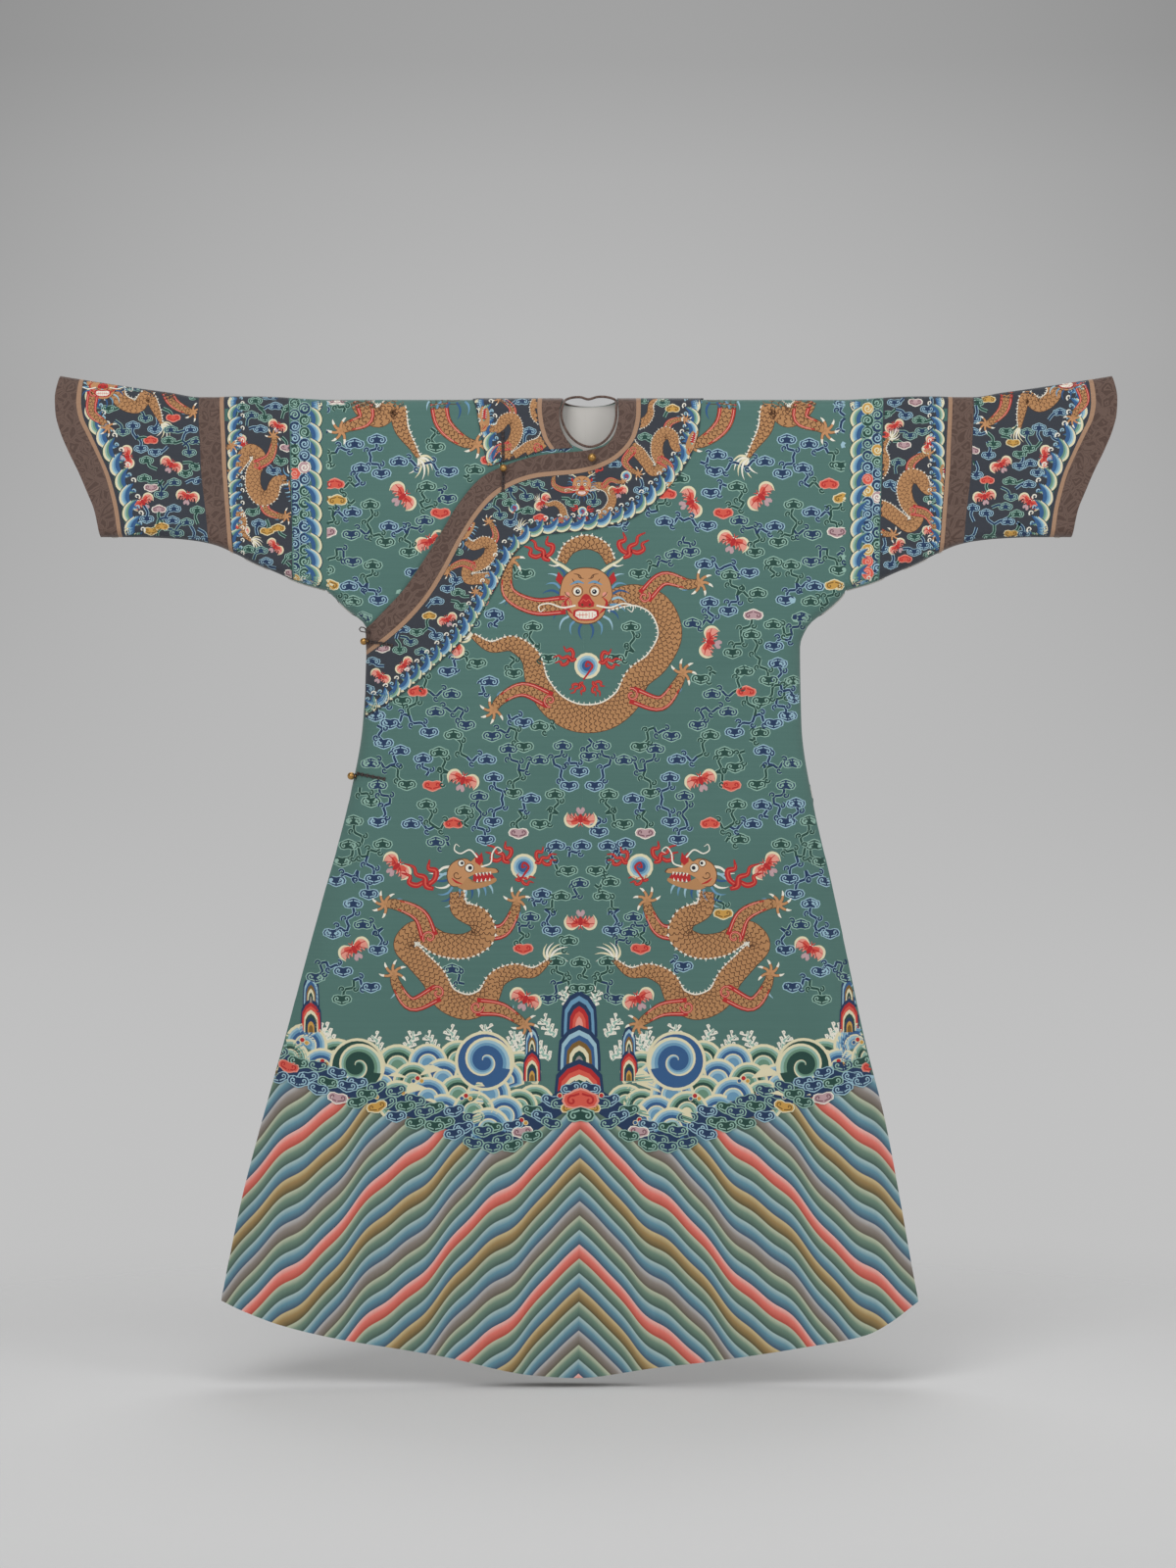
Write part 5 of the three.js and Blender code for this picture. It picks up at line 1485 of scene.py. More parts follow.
def spray(cloth, x, z, turn, size, on=8, mirror=False):
    """A plume of spray with curled tips."""
    pen = cloth.at(x, z, turn, size, mirror)
    stem = line([(0, 0, 6.0), (3, 12, 5.4), (0, 24, 4), (5, 36, 1.4)], 5)
    pen.ribbon(stem[:, :2], stem[:, 2] + 2, "white", on)
    pen.ribbon(stem[:, :2], stem[:, 2], "mint", on + 1)
    for i, up in enumerate((3, 8, 13, 18, 23, 28, 33)):
        side = 1 if i % 2 else -1
        coil = spiral(0, 0, 0.8, 3.4, 330, 30, 8) * [side, 1] + [side * 7.5 + 2, up + 3]
        hook = np.vstack([[(2, up - 3)], [(2 + side * 4, up - 1)], coil[::-1]])
        pen.ribbon(hook, np.linspace(2.8, 1.6, len(hook)), "white", on + 2)


def hill(cloth, x, z, width, height, tiers, on=10):
    """A stepped mountain: tiers of nested arches, each in front of the one above."""
    pen = cloth.at(x, z)
    pen.take(0, height / 2, max(width, height) * 0.45)
    for tier in range(tiers):
        foot = height * (1 - (tier + 1) / tiers)
        wide = width * (0.6 + 0.4 * (tier + 1) / tiers)
        tall = height / tiers * 1.35
        for i, ink in enumerate(HILL_INKS[tier + 3 - tiers]):
            w, h = wide - i * width * 0.115, tall - i * height / tiers * 0.15
            if w < width * 0.08 or h < 3:
                break
            shape = both([
                (0.0, 0), (w / 2, 0), (w * 0.49, h * 0.35), (w * 0.46, h * 0.66), (w * 0.27, h * 0.88),
                (0, h)])
            halfway = (shape + np.roll(shape, -1, 0)) / 2
            shape = np.stack([shape, halfway], 1).reshape(-1, 2)
            pen.patch(shape[2:] + [0, foot], ink, on + tier * 6 + i)


def curl(cloth, x, z, radius, tone, turn, on=14):
    dark, light, filling = TONES[tone]
    pen = cloth.at(x, z, turn)
    pen.disc(0, 0, radius, light, on)
    pen.disc(0, 0, radius * 0.87, filling or dark, on + 0.6)
    coil = spiral(0, 0, radius * 0.1, radius * 0.66, -250, 250, 14)
    pen.ribbon(coil, radius * 0.22, light, on + 1.2)


def pick_tone(rng):
    return str(rng.choice(list(TONES), p=[0.36, 0.3, 0.18, 0.06, 0.06, 0.04]))


def stripe_edge(out):
    return LOW_POINT["drop"] - np.maximum((LOW_POINT["out"] - out) * LOW_POINT["inward"],
                                          (out - LOW_POINT["out"]) * LOW_POINT["outward"])


# What lies on what in the band: the height of each kind of figure, in steps.
BAND_LEVELS = {"side hill": 1, "small hill": 3, "great hill": 4, "waves": 3, "curls": 27, "strip": 30,
               "jewels": 33, "edge": 34, "middle": (46, 50)}
WAVE_STEP = 44  # from one wave to the next, in each row
JEWELS = ((30, 1010), (85, 1045), (165, 1010), (235, 985), (262, 1002), (300, 1008), (372, 960), (400, 930))
JEWEL_DISCS = ((-6, 0, 3.6, "blue"), (0, 4, 4.2, "red"), (6, 0, 3.6, "ochre"))


def wave_band(cloth, seed):
    rng = np.random.default_rng(seed)
    top = smooth(WAVE_TOPS, "out", "drop")
    sprays_and_hills(cloth, top)
    wave_rows(cloth, rng, top)
    curls_and_jewels(cloth)
    cloud_edge(cloth, rng)


def sprays_and_hills(cloth, top):
    for out, drop, turn, size in zip(*SPRAYS.values()):
        drop = drop if out < 80 else float(top(out)) + 3
        for side in (1, -1):
            spray(cloth, BAND_MIDDLE + side * out, -drop - 8, turn, size, 0, side < 0)
    for side in (1, -1):
        hill(cloth, BAND_MIDDLE + side * 388, -915, 30, 72, 2, BAND_LEVELS["side hill"])
        hill(cloth, BAND_MIDDLE + side * 70, -985, 26, 68, 2, BAND_LEVELS["small hill"])
    hill(cloth, BAND_MIDDLE - 2, -1020, 72, 148, 3, BAND_LEVELS["great hill"])


def wave_rows(cloth, rng, top):
    """Six rows of waves in turn green and blue, each row in front of the one above."""
    radius = 29
    for row in range(6):
        pens = {side: cloth.at(0, 0) for side in (1, -1)}
        for out in np.arange(WAVE_STEP * (1 + row % 2 / 2), 500, WAVE_STEP):
            drop = float(top(out)) + radius + row * 25
            if drop > stripe_edge(out) - 8 or (out < 50 and row < 2):
                continue
            place = int(out) // WAVE_STEP
            tone = ("green", "blue")[(place + row) % 2]
            on = BAND_LEVELS["waves"] + row * 6 + place % 2 * 2.4
            grown, tilt = radius * rng.uniform(0.92, 1.12), rng.uniform(-0.35, 0.35)
            for side in (1, -1):
                wave(pens[side], BAND_MIDDLE + side * out, -drop, grown, tone, on, tilt * side)


def curls_and_jewels(cloth):
    """The big curls, the dark ground of the band's lower edge and jewels in threes."""
    for out, drop, size, green in zip(*BIG_CURLS.values()):
        for side in (1, -1):
            pen = cloth.at(BAND_MIDDLE + side * out, -drop, 0, 1, side < 0)
            big_curl(pen, 0, 0, size, "green" if green else "blue", BAND_LEVELS["curls"])
    for reach in np.arange(0, 520, 40):
        for side in (1, -1):
            pen = cloth.at(BAND_MIDDLE, 0, 0, 1, side < 0)
            strip = np.arange(reach, reach + 48, 8.0)
            pen.ribbon(np.c_[strip, -stripe_edge(strip) + 8], 30, "deep", BAND_LEVELS["strip"])
    for out, drop in JEWELS:
        for side in (1, -1):
            pen = cloth.at(BAND_MIDDLE + side * out, -drop)
            for dx, dz, r, ink in JEWEL_DISCS:
                pen.disc(dx, dz, r, "cream", BAND_LEVELS["jewels"])
                pen.disc(dx, dz, r * 0.75, ink, BAND_LEVELS["jewels"] + 1)


def cloud_edge(cloth, rng):
    """Three rows of cloud curls over the stripes' upper edge, with two larger ones in the middle."""
    for row in range(3):
        for out in np.arange(14 + (row % 2) * 14, 520, 28.0):
            drop = float(stripe_edge(out)) + (row - 1) * 16 - 5 + 3 * math.sin(out * 0.16 + row)
            tone, turn = pick_tone(rng), rng.uniform(-0.3, 0.3)
            for side in (1, -1):
                x, on = BAND_MIDDLE + side * out, BAND_LEVELS["edge"] + row * 4
                ruyi(cloth, x, -drop, (turn + math.pi) * side, 1.1, tone, on)
    low, high = BAND_LEVELS["middle"]
    ruyi(cloth, BAND_MIDDLE, -1034, 0, 1.5, "green", low)
    ruyi(cloth, BAND_MIDDLE, -1012, 0, 1.9, "coral", high)


# Borders

TONGUE_STEP = 24.0


def rope(cloth, path, on=2, side=1, size=1.0):
    """A chain of rolling wave tongues along an edge, and white hooks on their inner side."""
    rows, along, across = evenly(np.asarray(path, float), TONGUE_STEP * size)
    pen = cloth.at(0, 0)
    pen.ribbon(rows, 20 * size, "ground", on - 2, 1.5 * side)
    for i, (row, forward, out) in enumerate(zip(rows, along, across * side)):

        def at(points):
            points = np.asarray(points, float) * size
            return np.c_[row[0] + points[:, :1] * forward[0] + points[:, 1:2] * out[0],
                         row[1] + points[:, :1] * forward[1] + points[:, 1:2] * out[1]], points[:, 2]

        inks = (("deep", "cream", "sky", "water", "blue"), ("pine", "cream", "mint", "leaf", "blue"))[i % 2]
        for k, (shift, grown, ink) in enumerate(zip((0, 0, -3.6, -6.4, -9.4), (2.4, 0, 0, 0, 0), inks)):
            points, width = at(line([
                (-8, -11 + shift, 1 + grown), (2, 0 + shift, 6 + grown), (14, 3.6 + shift, 6 + grown),
                (26, -3 + shift, 3 + grown), (31, -10 + shift, 0.8)], 4))
            pen.ribbon(points, width, ink, on + i * 0.7 + k * 0.3)
        for u, v, r, ink in ((13, -21, 4.6, "white"), (3, -18, 3.4, "sky")):
            coil, width = at(np.c_[spiral(u, v, 0.8, r, 0, 330, 9), np.linspace(1.2, 2.4, 9)])
            pen.ribbon(coil, width, ink, on + 1)


def small_clouds(cloth, rng, low, high, allowed, reach=17.0, tries=900):
    """Close-set cloud heads in pairs on a dark ground, smaller than those on the green."""
    for _ in range(tries):
        x, z = rng.uniform(*low), rng.uniform(*high)
        angle = rng.uniform(0, 2 * math.pi)
        turns = (angle, angle + 2.2, angle + 4.3)
        ends = [(x + reach * math.cos(a), z + reach * math.sin(a), a) for a in turns]
        ends = [end for end in ends if allowed(end[0], end[1]) and free_place(cloth, end[0], end[1], 8)]
        if not ends:
            continue
        pen = cloth.at(x, z, 0, 0.8)
        for ex, ez, a in ends:
            tone = pick_tone(rng)
            stem = line([(0, 0), ((ex - x) * 0.7 - (ez - z) * 0.2, (ez - z) * 0.7 + (ex - x) * 0.2),
                         ((ex - x) * 1.1, (ez - z) * 1.1)], 4)
            cloud_lines(pen, stem, "green" if TONES[tone][2] else tone, 1)
            ruyi(cloth, ex, ez, 0 if math.sin(a) > -0.2 else math.pi, 0.76, tone, 2)
            cloth.taken.append((ex, ez, 8))
        cloth.taken.append((x, z, 5))


def border_edges(table, steps):
    share = np.linspace(0, 1, steps)
    return curve(table, "tan_x", "tan_z")(share), curve(table, "out_x", "out_z")(share)


def border_region(table):
    """Says whether a point is on the dark blue band of a neck border."""
    inner, outer = border_edges(table, 90)
    outline = np.vstack([inner, outer[::-1]])
    following = np.roll(outline, -1, axis=0)
    spans = [(*a, *b) for a, b in zip(outline.tolist(), following.tolist()) if a[1] != b[1]]

    def inside(x, z):
        within = np.zeros(np.shape(x), bool)
        for ax, az, bx, bz in spans:
            crossing = (az > z) != (bz > z)
            within ^= crossing & (x < (bx - ax) * (z - az) / (bz - az) + ax)
        return within & (edge_distance(x, z)[0] > 0.5) & (z < -0.4)

    return inside


def holds(region, x, z):
    """Whether a region holds one point."""
    return bool(region(np.array([float(x)]), np.array([float(z)]))[0])


def clear_of(edge, x, z, gap):
    return np.linalg.norm(edge - [x, z], axis=1).min() > gap


ROPE_CLEAR = 24  # how far clouds stay from the middle of a border's wave edge
NECK_BATS = ((-262, -386, 0.8), (-200, -320, 0.4), (46, -134, 0.1), (-62, -150, 0.9), (-296, -402, -0.6))


def neck_border_figures():
    inside = border_region(NECK_BORDER)
    cloth = Weaving("neck_border_figures", front, panel_level, inside, "navy_silk")
    inner, outer = border_edges(NECK_BORDER, 80)
    rope(cloth, shifted(outer, inner, 6), side=1, size=0.82)
    frontal_dragon(cloth, -6, -132, 0, 0.36, False, 13.0)
    profile_dragon(cloth, -146, -222, 0.85, 0.5, False, 12.0, False)
    profile_dragon(cloth, 112, -62, 1.75, 0.5, True, 12.0, False)
    for x, z in ((58, -112), (-104, -158)):
        pearl(cloth.at(x, z, 0, 0.42), 0, 0)
    for x, z, turn in NECK_BATS:
        bat(cloth, x, z, turn, 0.62)

    def allowed(x, z):
        return holds(inside, x, z) and clear_of(outer, x, z, ROPE_CLEAR)

    small_clouds(cloth, np.random.default_rng(3), (-315, 160), (-455, 0), allowed, tries=1500)
    cloth.finish()


def under_border_figures():
    inside = border_region(UNDER_BORDER)

    def showing(x, z):
        return inside(x, z) & (z > closing_edge(x) + 1)

    cloth = Weaving("under_border_figures", front, under_level, showing, "navy_silk")
    inner, outer = border_edges(UNDER_BORDER, 40)
    rope(cloth, shifted(outer, inner, 6), side=-1, size=0.82)
    profile_dragon(cloth, -108, -42, 1.4, 0.5, False, 12.0, False)

    def allowed(x, z):
        return holds(inside, x, z) and clear_of(outer, x, z, ROPE_CLEAR)

    small_clouds(cloth, np.random.default_rng(4), (-160, -50), (-100, 0), allowed, tries=400)
    cloth.finish()


def back_border_figures():
    half_width, drop = BACK_RINGS["border"]
    tan_width, tan_drop = BACK_RINGS["tan"]

    def within(x, z, more, width, height):
        return ((x - BACK_MIDDLE) / (width + more)) ** 2 + (z / (height + more)) ** 2 < 1

    def inside(x, z):
        return within(x, z, 0, half_width, drop) & ~within(x, z, 0.5, tan_width, tan_drop) & (z < -0.4)

    cloth = Weaving("back_border_figures", back, back_level, inside, "navy_silk")
    angle = np.radians(np.linspace(0, 180, 60))
    edge = np.c_[BACK_MIDDLE + (half_width - 6) * np.cos(angle), -(drop - 6) * np.sin(angle)]
    rope(cloth, edge, side=1, size=0.82)
    frontal_dragon(cloth, BACK_MIDDLE, -70, 0, 0.3, False, 14.0)
    for side in (1, -1):
        profile_dragon(cloth, BACK_MIDDLE + side * 108, -48, side * 1.2, 0.42, side > 0, 14.0, False)

    def allowed(x, z):
        return holds(inside, x, z) and within(x, z, -ROPE_CLEAR, half_width, drop)

    small_clouds(cloth, np.random.default_rng(8), (-155, 165), (-110, 0), allowed, tries=900)
    cloth.finish()


def sleeve_band(sign, start, end):
    """Says where the cloth between two sleeve seams is, on one side of the sleeve."""
    a, b = seam_reach(start), seam_reach(end)

    def inside(x, z):
        reach = abs(x)
        rise = np.where(reach > ARMHOLE_REACH, sleeve_rise(reach), 0)
        fall = np.where(reach > ARMHOLE_REACH, sleeve_drop(reach), UNDERARM_DROP)
        down = np.clip((rise - z) / (rise + fall), 0, 1)
        between_seams = (reach > a(down) + 0.2) & (reach < b(down) - 0.2)
        return (np.sign(x) == sign) & between_seams & (z < rise - 0.5) & (edge_distance(x, z)[0] > 0.5)

    return inside


def sleeve_figures(skin, sign, seed):
    side, face = ("left" if sign > 0 else "right"), ("front" if skin is front else "back")
    rng = np.random.default_rng(seed)
    inside = sleeve_band(sign, "armhole", "border")
    cloth = Weaving(f"sleeve_{side}_{face}_figures", skin, no_lift, inside, "green_silk")
    z = np.linspace(4, -282, 60)
    cloth.at(0, 0).ribbon(np.c_[np.full(60, sign * 416.0), z], 30, "deep", 0)
    rope(cloth, np.c_[np.full(60, sign * 388.0), z], side=-sign, size=0.95, on=1)
    for column, reach in enumerate((421, 407)):
        for drop in np.arange(6 + column * 8, 276, 17):
            radius, tone, turn = rng.uniform(8, 9.6), pick_tone(rng), rng.uniform(0, 6)
            curl(cloth, sign * reach, -drop, radius, tone, turn, 6 + column * 2)
    cloth.finish()

    inside = sleeve_band(sign, "border", "tan")
    cloth = Weaving(f"band_{side}_{face}_figures", skin, no_lift, inside, "navy_silk")
    rope(cloth, np.c_[np.full(60, sign * 513.0), z], side=sign, size=0.75, on=1)
    profile_dragon(cloth, sign * 470, -128, sign * 1.45, 0.62, sign > 0, 11.0, False)
    for x, drop, turn in ((446, 40, 0.4), (496, 66, 1.2), (450, 214, 0.8), (500, 190, 0.2)):
        bat(cloth, sign * x, -drop, turn * sign, 0.6)

    def allowed(x, z):
        return holds(inside, x, z) and abs(x) < 500

    small_clouds(cloth, rng, (sign * 475 - 45, sign * 475 + 45), (-250, 5), allowed, tries=700)
    cloth.finish()

    inside = sleeve_band(sign, "cuff", "hoof_tan")
    cloth = Weaving(f"cuff_{side}_{face}_figures", skin, no_lift, inside, "navy_silk")
    down = np.linspace(-0.05, 1.05, 60)
    edge_reach = seam_reach("hoof_tan")(np.clip(down, 0, 1)) - 11
    edge = np.c_[sign * edge_reach, lerp(sleeve_rise(edge_reach), -sleeve_drop(edge_reach), down)]
    rope(cloth, edge, side=sign, size=0.95, on=1)
    pen = cloth.at(sign * 645, 14, -0.12 * sign, 0.7, sign > 0)
    coil = line([(-46, 30, 30), (-42, -16, 30), (-10, -34, 28), (14, -14, 24), (30, -50, 16), (36, -76, 6)],
                8)
    tail(pen, 36, -76, -70)
    scaled_limb(pen, coil, 1, 10.0, 1)
    leg(pen, [(50, 10, 26), (64, -34, 22), (92, -56, 14), (104, -60, 9)], -20)
    frontal_head(pen, -74, 26, 0.9)
    leg(pen, [(-96, 6, 24), (-104, -36, 20), (-82, -60, 13), (-76, -70, 9)], -70)
    for x, drop, turn in ((600, 96, 0.5), (576, 142, 0.2), (664, 84, 1.4), (640, 150, -0.6)):
        bat(cloth, sign * x, -drop, turn * sign, 0.72)

    def on_cuff(x, z):
        return holds(inside, x, z) and clear_of(edge, x, z, 26)

    small_clouds(cloth, rng, (sign * 645 - 85, sign * 645 + 85), (-205, 20), on_cuff, reach=20, tries=900)
    cloth.finish()


ROBE_FIGURES = (  # name, skin, lift, where the cloth is, what is drawn on it and the seed of its draws
    ("front_figures", front, main_lift, on_front, green_figures, 5),
    ("front_wave_band", front, main_lift, on_front, wave_band, 21),
    ("under_figures", front, no_lift, on_under, green_figures, 5),
    ("back_figures", back, no_lift, on_back, green_figures, 11),
    ("back_wave_band", back, no_lift, on_back, wave_band, 22),
)


def robe_figures():
    for name, skin, lift, inside, draw, seed in ROBE_FIGURES:
        cloth = Weaving(name, skin, lift, inside, "green_silk")
        draw(cloth, seed)
        cloth.finish()
    neck_border_figures()
    under_border_figures()
    back_border_figures()
    for sign in (1, -1):
        sleeve_figures(front, sign, 31 + sign)
        sleeve_figures(back, sign, 41 + sign)


robe_figures()


# The rolled neck binding, the buttons and the cords, with Geometry Nodes for the cords and their knots

def brass():
    recipe = Recipe("old brass")
    vector = recipe.place()[0]
    worn = recipe.noise(recipe.stretched(vector, 260, 260, 260), 1.0, 3.0)
    fine = recipe.noise(recipe.stretched(vector, 1500, 1500, 1500), 1.0, 2.0)
    return recipe.finish({
        "Base Color": recipe.mix(worn, silk_colour(214, 172, 104), silk_colour(140, 98, 52)),
        "Metallic": 0.9,
        "Roughness": recipe.add("ShaderNodeMapRange",
                                inputs={"Value": worn, "To Min": 0.26, "To Max": 0.5}),
        "Normal": recipe.add("ShaderNodeBump",
                             inputs={"Strength": 0.15, "Distance": 0.0003, "Height": fine})})


CORD_INPUTS = {"Geometry": "Geometry", "Cord Radius": "Float", "Knot Step": "Float", "Knot Size": "Vector",
               "Material": "Material"}


def cord_tree():
    """A cord along the object's edges, with knots at even steps."""
    tree = bpy.data.node_groups.new("knotted cord", "GeometryNodeTree")
    for name, kind in CORD_INPUTS.items():
        tree.interface.new_socket(name, in_out="INPUT", socket_type=f"NodeSocket{kind}")
    tree.interface.new_socket("Geometry", in_out="OUTPUT", socket_type="NodeSocketGeometry")
    nodes = Nodes(tree)
    given = tree.nodes.new("NodeGroupInput").outputs
    path = nodes.add("GeometryNodeMeshToCurve", inputs={"Mesh": given["Geometry"]})
    ring = nodes.add("GeometryNodeCurvePrimitiveCircle",
                     inputs={"Resolution": 10, "Radius": given["Cord Radius"]})
    tube = nodes.add("GeometryNodeCurveToMesh",
                     inputs={"Curve": path, "Profile Curve": ring, "Fill Caps": True})
    spaced = {"Curve": path, "Length": given["Knot Step"]}
    marks = nodes.add("GeometryNodeResampleCurve", {"mode": "LENGTH"}, spaced)
    ball = nodes.add("GeometryNodeMeshUVSphere", inputs={"Segments": 10, "Rings": 7, "Radius": 1.0})
    placed = {"Points": marks, "Instance": ball, "Scale": given["Knot Size"]}
    knots = nodes.add("GeometryNodeInstanceOnPoints", inputs=placed)
    joined = nodes.add("GeometryNodeJoinGeometry", inputs={0: tube})
    tree.links.new(knots.socket, joined.socket.node.inputs[0])
    real = nodes.add("GeometryNodeRealizeInstances", inputs={0: joined})
    rounded_off = nodes.add("GeometryNodeSetShadeSmooth", inputs={0: real})
    dressed = nodes.add("GeometryNodeSetMaterial",
                        inputs={"Geometry": rounded_off, "Material": given["Material"]})
    tree.links.new(dressed.socket, tree.nodes.new("NodeGroupOutput").inputs[0])
    return tree


CORD_TREE = cord_tree()


def cord(name, paths, radius, step, knot, material, closed=False):
    """paths are lists of points in metres. knot is half a knot's size in x, y and z, in millimetres."""
    points = np.vstack(paths)
    edges, first = [], 0
    for path in paths:
        n = len(path)
        edges += [(first + i, first + (i + 1) % n) for i in range(n if closed else n - 1)]
        first += n
    mesh = bpy.data.meshes.new(f"{name} path")
    mesh.from_pydata(points.tolist(), edges, [])
    guide = bpy.data.objects.new(f"{name} path", mesh)
    bpy.context.scene.collection.objects.link(guide)
    nodes = guide.modifiers.new("cord", "NODES")
    nodes.node_group = CORD_TREE
    values = {"Cord Radius": radius * MM, "Knot Step": step * MM, "Knot Size": [k * MM for k in knot],
              "Material": material}
    for item in CORD_TREE.interface.items_tree:
        if item.in_out == "INPUT" and item.name in values:
            nodes[item.identifier] = values[item.name]
    evaluated = guide.evaluated_get(bpy.context.evaluated_depsgraph_get())
    made = bpy.data.meshes.new_from_object(evaluated)
    bpy.data.objects.remove(guide)
    piece = bpy.data.objects.new(f"{name}_cord", made)
    bpy.context.scene.collection.objects.link(piece)
    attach(piece, "root")
    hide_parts(name)


def point_on(skin, x, z, lift):
    return skin.points(np.array([float(x)]), np.array([float(z)]), np.array([float(lift)]))[0]


# The neck hole's edge: side is -1 on the front, 1 on the back and 0 on the shoulder line.
NECK_HOLE = columns(
    "x z side",
    (43, -1, 0), (43.6, -14, -1), (43, -30, -1), (37, -48, -1), (25, -62.5, -1), (7, -69.5, -1),
    (-10, -65, -1), (-23, -54, -1), (-32, -39, -1), (-36, -22, -1), (-33, -8, -1), (-30.5, -1, 0),
    (-22, 3.5, 1), (-8, 4.5, 1), (3, 1.5, 1), (17, 5, 1), (31, 4.5, 1),
)


def neck_binding():
    places = []
    for x, z, side in zip(*NECK_HOLE.values()):
        if side < 0:
            places.append(point_on(front, x, z, overlap_lift(x) * 0.5))
        else:
            places.append(np.array([x, 7.0 * side, z]) * MM)
    places = np.array(places)
    around = np.vstack([places[-2:], places, places[:3]]) / MM
    runs = np.c_[around[:, 0], around[:, 2], around[:, 1]]
    closed = line(runs, 6)[12:12 + len(places) * 6]
    cord("neck_binding", [closed[:, [0, 2, 1]] * MM], 1.8, 2.6, (1.9, 1.9, 1.9), brown,
         True)


BUTTON_GAP = 2.9  # from the border to a ball
# Where each button is and how it's turned: a place on the front, or a point beside the robe.
CLOTH_BUTTONS = (("neck", 6, 8.4, -86), ("shoulder", 5.3, -119.3, -101))  # name, radius, x, z
SIDE_BUTTONS = (  # name, radius, x, y, z and the outward direction's x and y
    ("underarm", 5.3, -321.2, -12.9, -350.5, 0.8, -0.6),
    ("side", 5.5, -339.7, -9.2, -545, 0.85, -0.52),
)


def button(name, radius, centre, direction, material):
    """A chased ball with a collar and a neck, and the cord loop round the neck."""
    angle = np.linspace(0.02, math.pi - 0.38, 18)
    profile = [(radius * math.sin(a) * (1 - 0.03 * (math.sin(a * 9) > 0.6)),
                -radius * math.cos(a)) for a in angle]
    profile += [(2.1, radius * 0.97), (2.2, radius + 0.4), (1.3, radius + 0.7), (1.3, radius + 2.6)]
    turn = np.linspace(0, 2 * math.pi, 32, endpoint=False)
    aside = np.cross(direction, [0, 0, 1.0])
    aside /= np.linalg.norm(aside)
    upward = np.cross(aside, direction)
    circle = np.cos(turn)[:, None] * aside + np.sin(turn)[:, None] * upward
    rings = []
    for reach, up in profile:
        flute = reach * (1 + 0.018 * np.cos(turn * 8) * (reach > 3))
        rings.append(centre + direction * up + flute[:, None] * circle)
    points = np.array(rings) * MM
    rows, cols = len(rings), 32
    faces = [[r * cols + c, r * cols + (c + 1) % cols, (r + 1) * cols + (c + 1) % cols, (r + 1) * cols + c]
             for r in range(rows - 1) for c in range(cols)]
    faces += [list(range(cols))[::-1], [(rows - 1) * cols + c for c in range(cols)]]
    ball = mesh_object(f"{name}_ball", points, faces, [material])
    mesh = ball.data
    first = mesh.polygons[0]
    if first.normal.dot(Vector(first.center) - Vector(centre * MM)) < 0:
        mesh.flip_normals()
    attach(ball, "root")
    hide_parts(f"button_{name}")
    loop = centre + direction * (radius + 1.45) + 2.75 * circle
    cord(f"loop_{name}", [loop * MM], 0.9, 1.7, (1.05, 1.05, 1.05), cord_silk, True)


STRIPS = (  # name, skin, start, end, the level it lies on, knots
    ("neck", front, 7.3, -75.5, 7.9, -81.3, 1.8, 1),
    ("shoulder_upper", front, -120.4, -48, -119.6, -89.5, 1.8, 6),
    ("shoulder_lower", front, -119.5, -107, -120, -133, 4.4, 4),
    ("underarm_front", front, -307.6, -350.5, -280, -357, 4.4, 4),
    ("underarm_back", back, -306, -351, -280, -355, 0, 4),
    ("side_front", front, -327.6, -542, -291, -549.5, 2.6, 5),
    ("side_back", back, -324, -543, -294, -548, 0, 4),
)
STRIP_LIFT = 1.3  # from a strip's cloth to the middle of its cords
SPARE_ENDS = ((-309, -335.6), (-309.6, -338.2))
SPARE_LOOP = ((-316, -18.8, -334.6), (-321, -16.5, -330.5), (-325.5, -15.5, -330), (-327.6, -15.5, -333),
              (-325.5, -15.5, -336), (-321, -16.5, -337), (-316, -18.8, -337.6))


def fastenings():
    metal = brass()
    for name, radius, x, z in CLOTH_BUTTONS:
        at = point_on(front, x, z, 0) / MM
        out = point_on(front, x, z, 1) / MM - at
        lift = float(panel_level(x)) + BUTTON_GAP + radius
        button(name, radius, at + out * lift, -out, metal)
    for name, radius, x, y, z, out_x, out_y in SIDE_BUTTONS:
        direction = np.array([out_x, out_y, 0.0])
        button(name, radius, np.array([x, y, z]), direction / np.linalg.norm(direction), metal)
    for name, skin, x, z, end_x, end_z, level, knots in STRIPS:
        run = np.array([end_x - x, end_z - z])
        length = np.linalg.norm(run)
        run = run / length
        paths = []
        for aside in (-1.1, 1.1):
            places = [(lerp(x, end_x, t), lerp(z, end_z, t)) for t in np.linspace(0, 1, 7)]
            places = [(px - run[1] * aside, pz + run[0] * aside) for px, pz in places]
            paths.append(np.array([point_on(skin, *place, level + STRIP_LIFT) for place in places]))
        cord(f"strip_{name}", paths, 0.75, length / knots / 1.001, (1.7, 0.9, 1.7), cord_silk)
    tails = [point_on(front, x, z, float(panel_level(x)) + STRIP_LIFT) for x, z in SPARE_ENDS]
    ring = np.vstack([tails[0][None], np.array(SPARE_LOOP) * MM, tails[1][None]])
    cord("loop_spare", [ring], 0.75, 1.5, (0.9, 0.9, 0.9), cord_silk)


neck_binding()
fastenings()


# Stage, light and camera

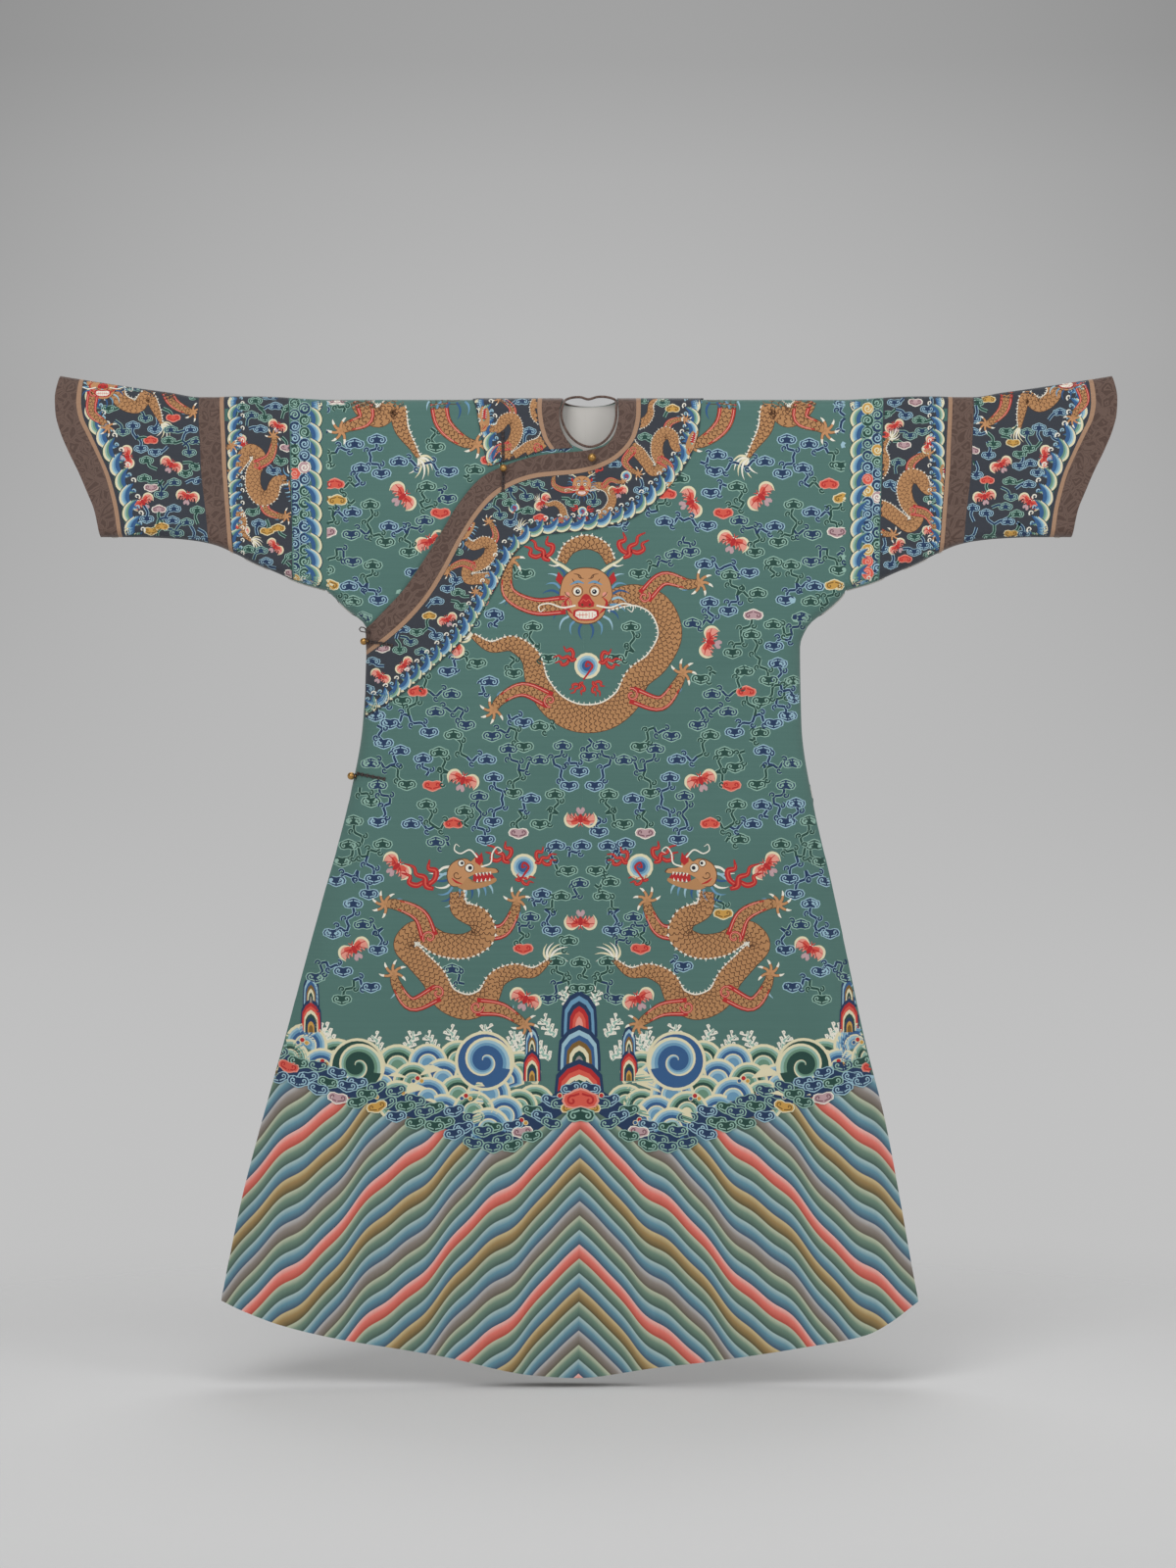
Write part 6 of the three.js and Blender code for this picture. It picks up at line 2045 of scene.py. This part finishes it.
def stage():
    """A pale floor that fades out into the backdrop."""
    floor_z, reach = -1.428, 3.2
    recipe = Recipe("pale floor")
    level = recipe.stretched(recipe.place()[0], 1, 1, 0)
    from_middle = recipe.add("ShaderNodeVectorMath", {"operation": "LENGTH"}, {0: level}, 1)
    fade = recipe.add("ShaderNodeMapRange", {"interpolation_type": "SMOOTHSTEP"}, {
        "Value": from_middle, "From Min": 0.5, "From Max": reach * 0.62})
    pale = {"Base Color": silk_colour(232, 232, 232), "Roughness": 0.9}
    shader = recipe.add("ShaderNodeBsdfPrincipled", inputs=pale)
    clear = recipe.add("ShaderNodeBsdfTransparent")
    shown = recipe.add("ShaderNodeMixShader", inputs={0: fade, 1: shader, 2: clear})
    recipe.put_out(shown, "ShaderNodeOutputMaterial")
    angles = np.linspace(0, 2 * math.pi, 64, endpoint=False)
    ring = np.c_[reach * np.cos(angles), reach * np.sin(angles), np.full(64, floor_z)]
    floor = mesh_object("floor", ring, [list(range(64))], [recipe.material])


def soft_light(name, place, towards, size, power):
    data = bpy.data.lights.new(name, "AREA")
    data.shape, data.size, data.energy = "DISK", size, power
    lamp = bpy.data.objects.new(name, data)
    bpy.context.scene.collection.objects.link(lamp)
    lamp.location = place
    lamp.rotation_euler = (Vector(towards) - Vector(place)).to_track_quat("-Z", "Y").to_euler()


# The backdrop's greys from far below eye level to far above.
GREYS = ((0.0, 197), (0.36, 193), (0.5, 187), (0.7, 184), (0.77, 175), (0.82, 163), (1.0, 150))
LIGHTS = (  # name, place, what it points at, size in metres and power in watts
    ("front light", (-1.6, -3.6, 1.6), (0, 0, -0.6), 2.2, 62),
    ("side light", (2.6, -2.6, 0.6), (0, 0, -0.7), 1.8, 26),
    ("high light", (0.2, -2.4, 2.8), (0, -0.6, -1.0), 2.6, 38),
    ("floor light", (0, 1.5, 0.9), (0, 0.9, -1.43), 2.0, 15),
)


def backdrop():
    """Grey light all round that darkens upwards and, above eye level, to both sides."""
    world = bpy.data.worlds.new("grey studio")
    world.use_nodes = True
    bpy.context.scene.world = world
    nodes = Nodes(world.node_tree)
    aside, height = nodes.x_and_z(nodes.add("ShaderNodeTexCoord", output=0))
    share = nodes.add("ShaderNodeMapRange", inputs={"Value": height, "From Min": -0.3, "From Max": 0.3})
    stops = [(place, silk_colour(grey, grey, grey)) for place, grey in GREYS]
    grey = nodes.add("ShaderNodeValToRGB", {"stops": stops}, {0: share})
    sides = nodes.add("ShaderNodeMapRange",
                      inputs={"Value": aside * aside, "From Max": 0.026, "To Max": 0.2})
    high = nodes.add("ShaderNodeMapRange", inputs={"Value": height, "From Min": -0.05, "From Max": 0.1})
    shaded = nodes.mix(sides * high, grey, (0, 0, 0, 1))
    light = nodes.add("ShaderNodeBackground", inputs={"Color": shaded, "Strength": 1.0})
    nodes.put_out(light, "ShaderNodeOutputWorld")


def camera():
    """Level with the middle of the robe, a little over 5 m away."""
    data = bpy.data.cameras.new("camera")
    data.lens, data.sensor_width = 85, 36
    eye = bpy.data.objects.new("camera", data)
    bpy.context.scene.collection.objects.link(eye)
    eye.location = (0.0028, -5.364, -0.5566)
    eye.rotation_euler = (math.radians(90), 0, 0)
    bpy.context.scene.camera = eye


bpy.context.scene.view_settings.view_transform = "Standard"
stage()
backdrop()
for light in LIGHTS:
    soft_light(*light)
camera()
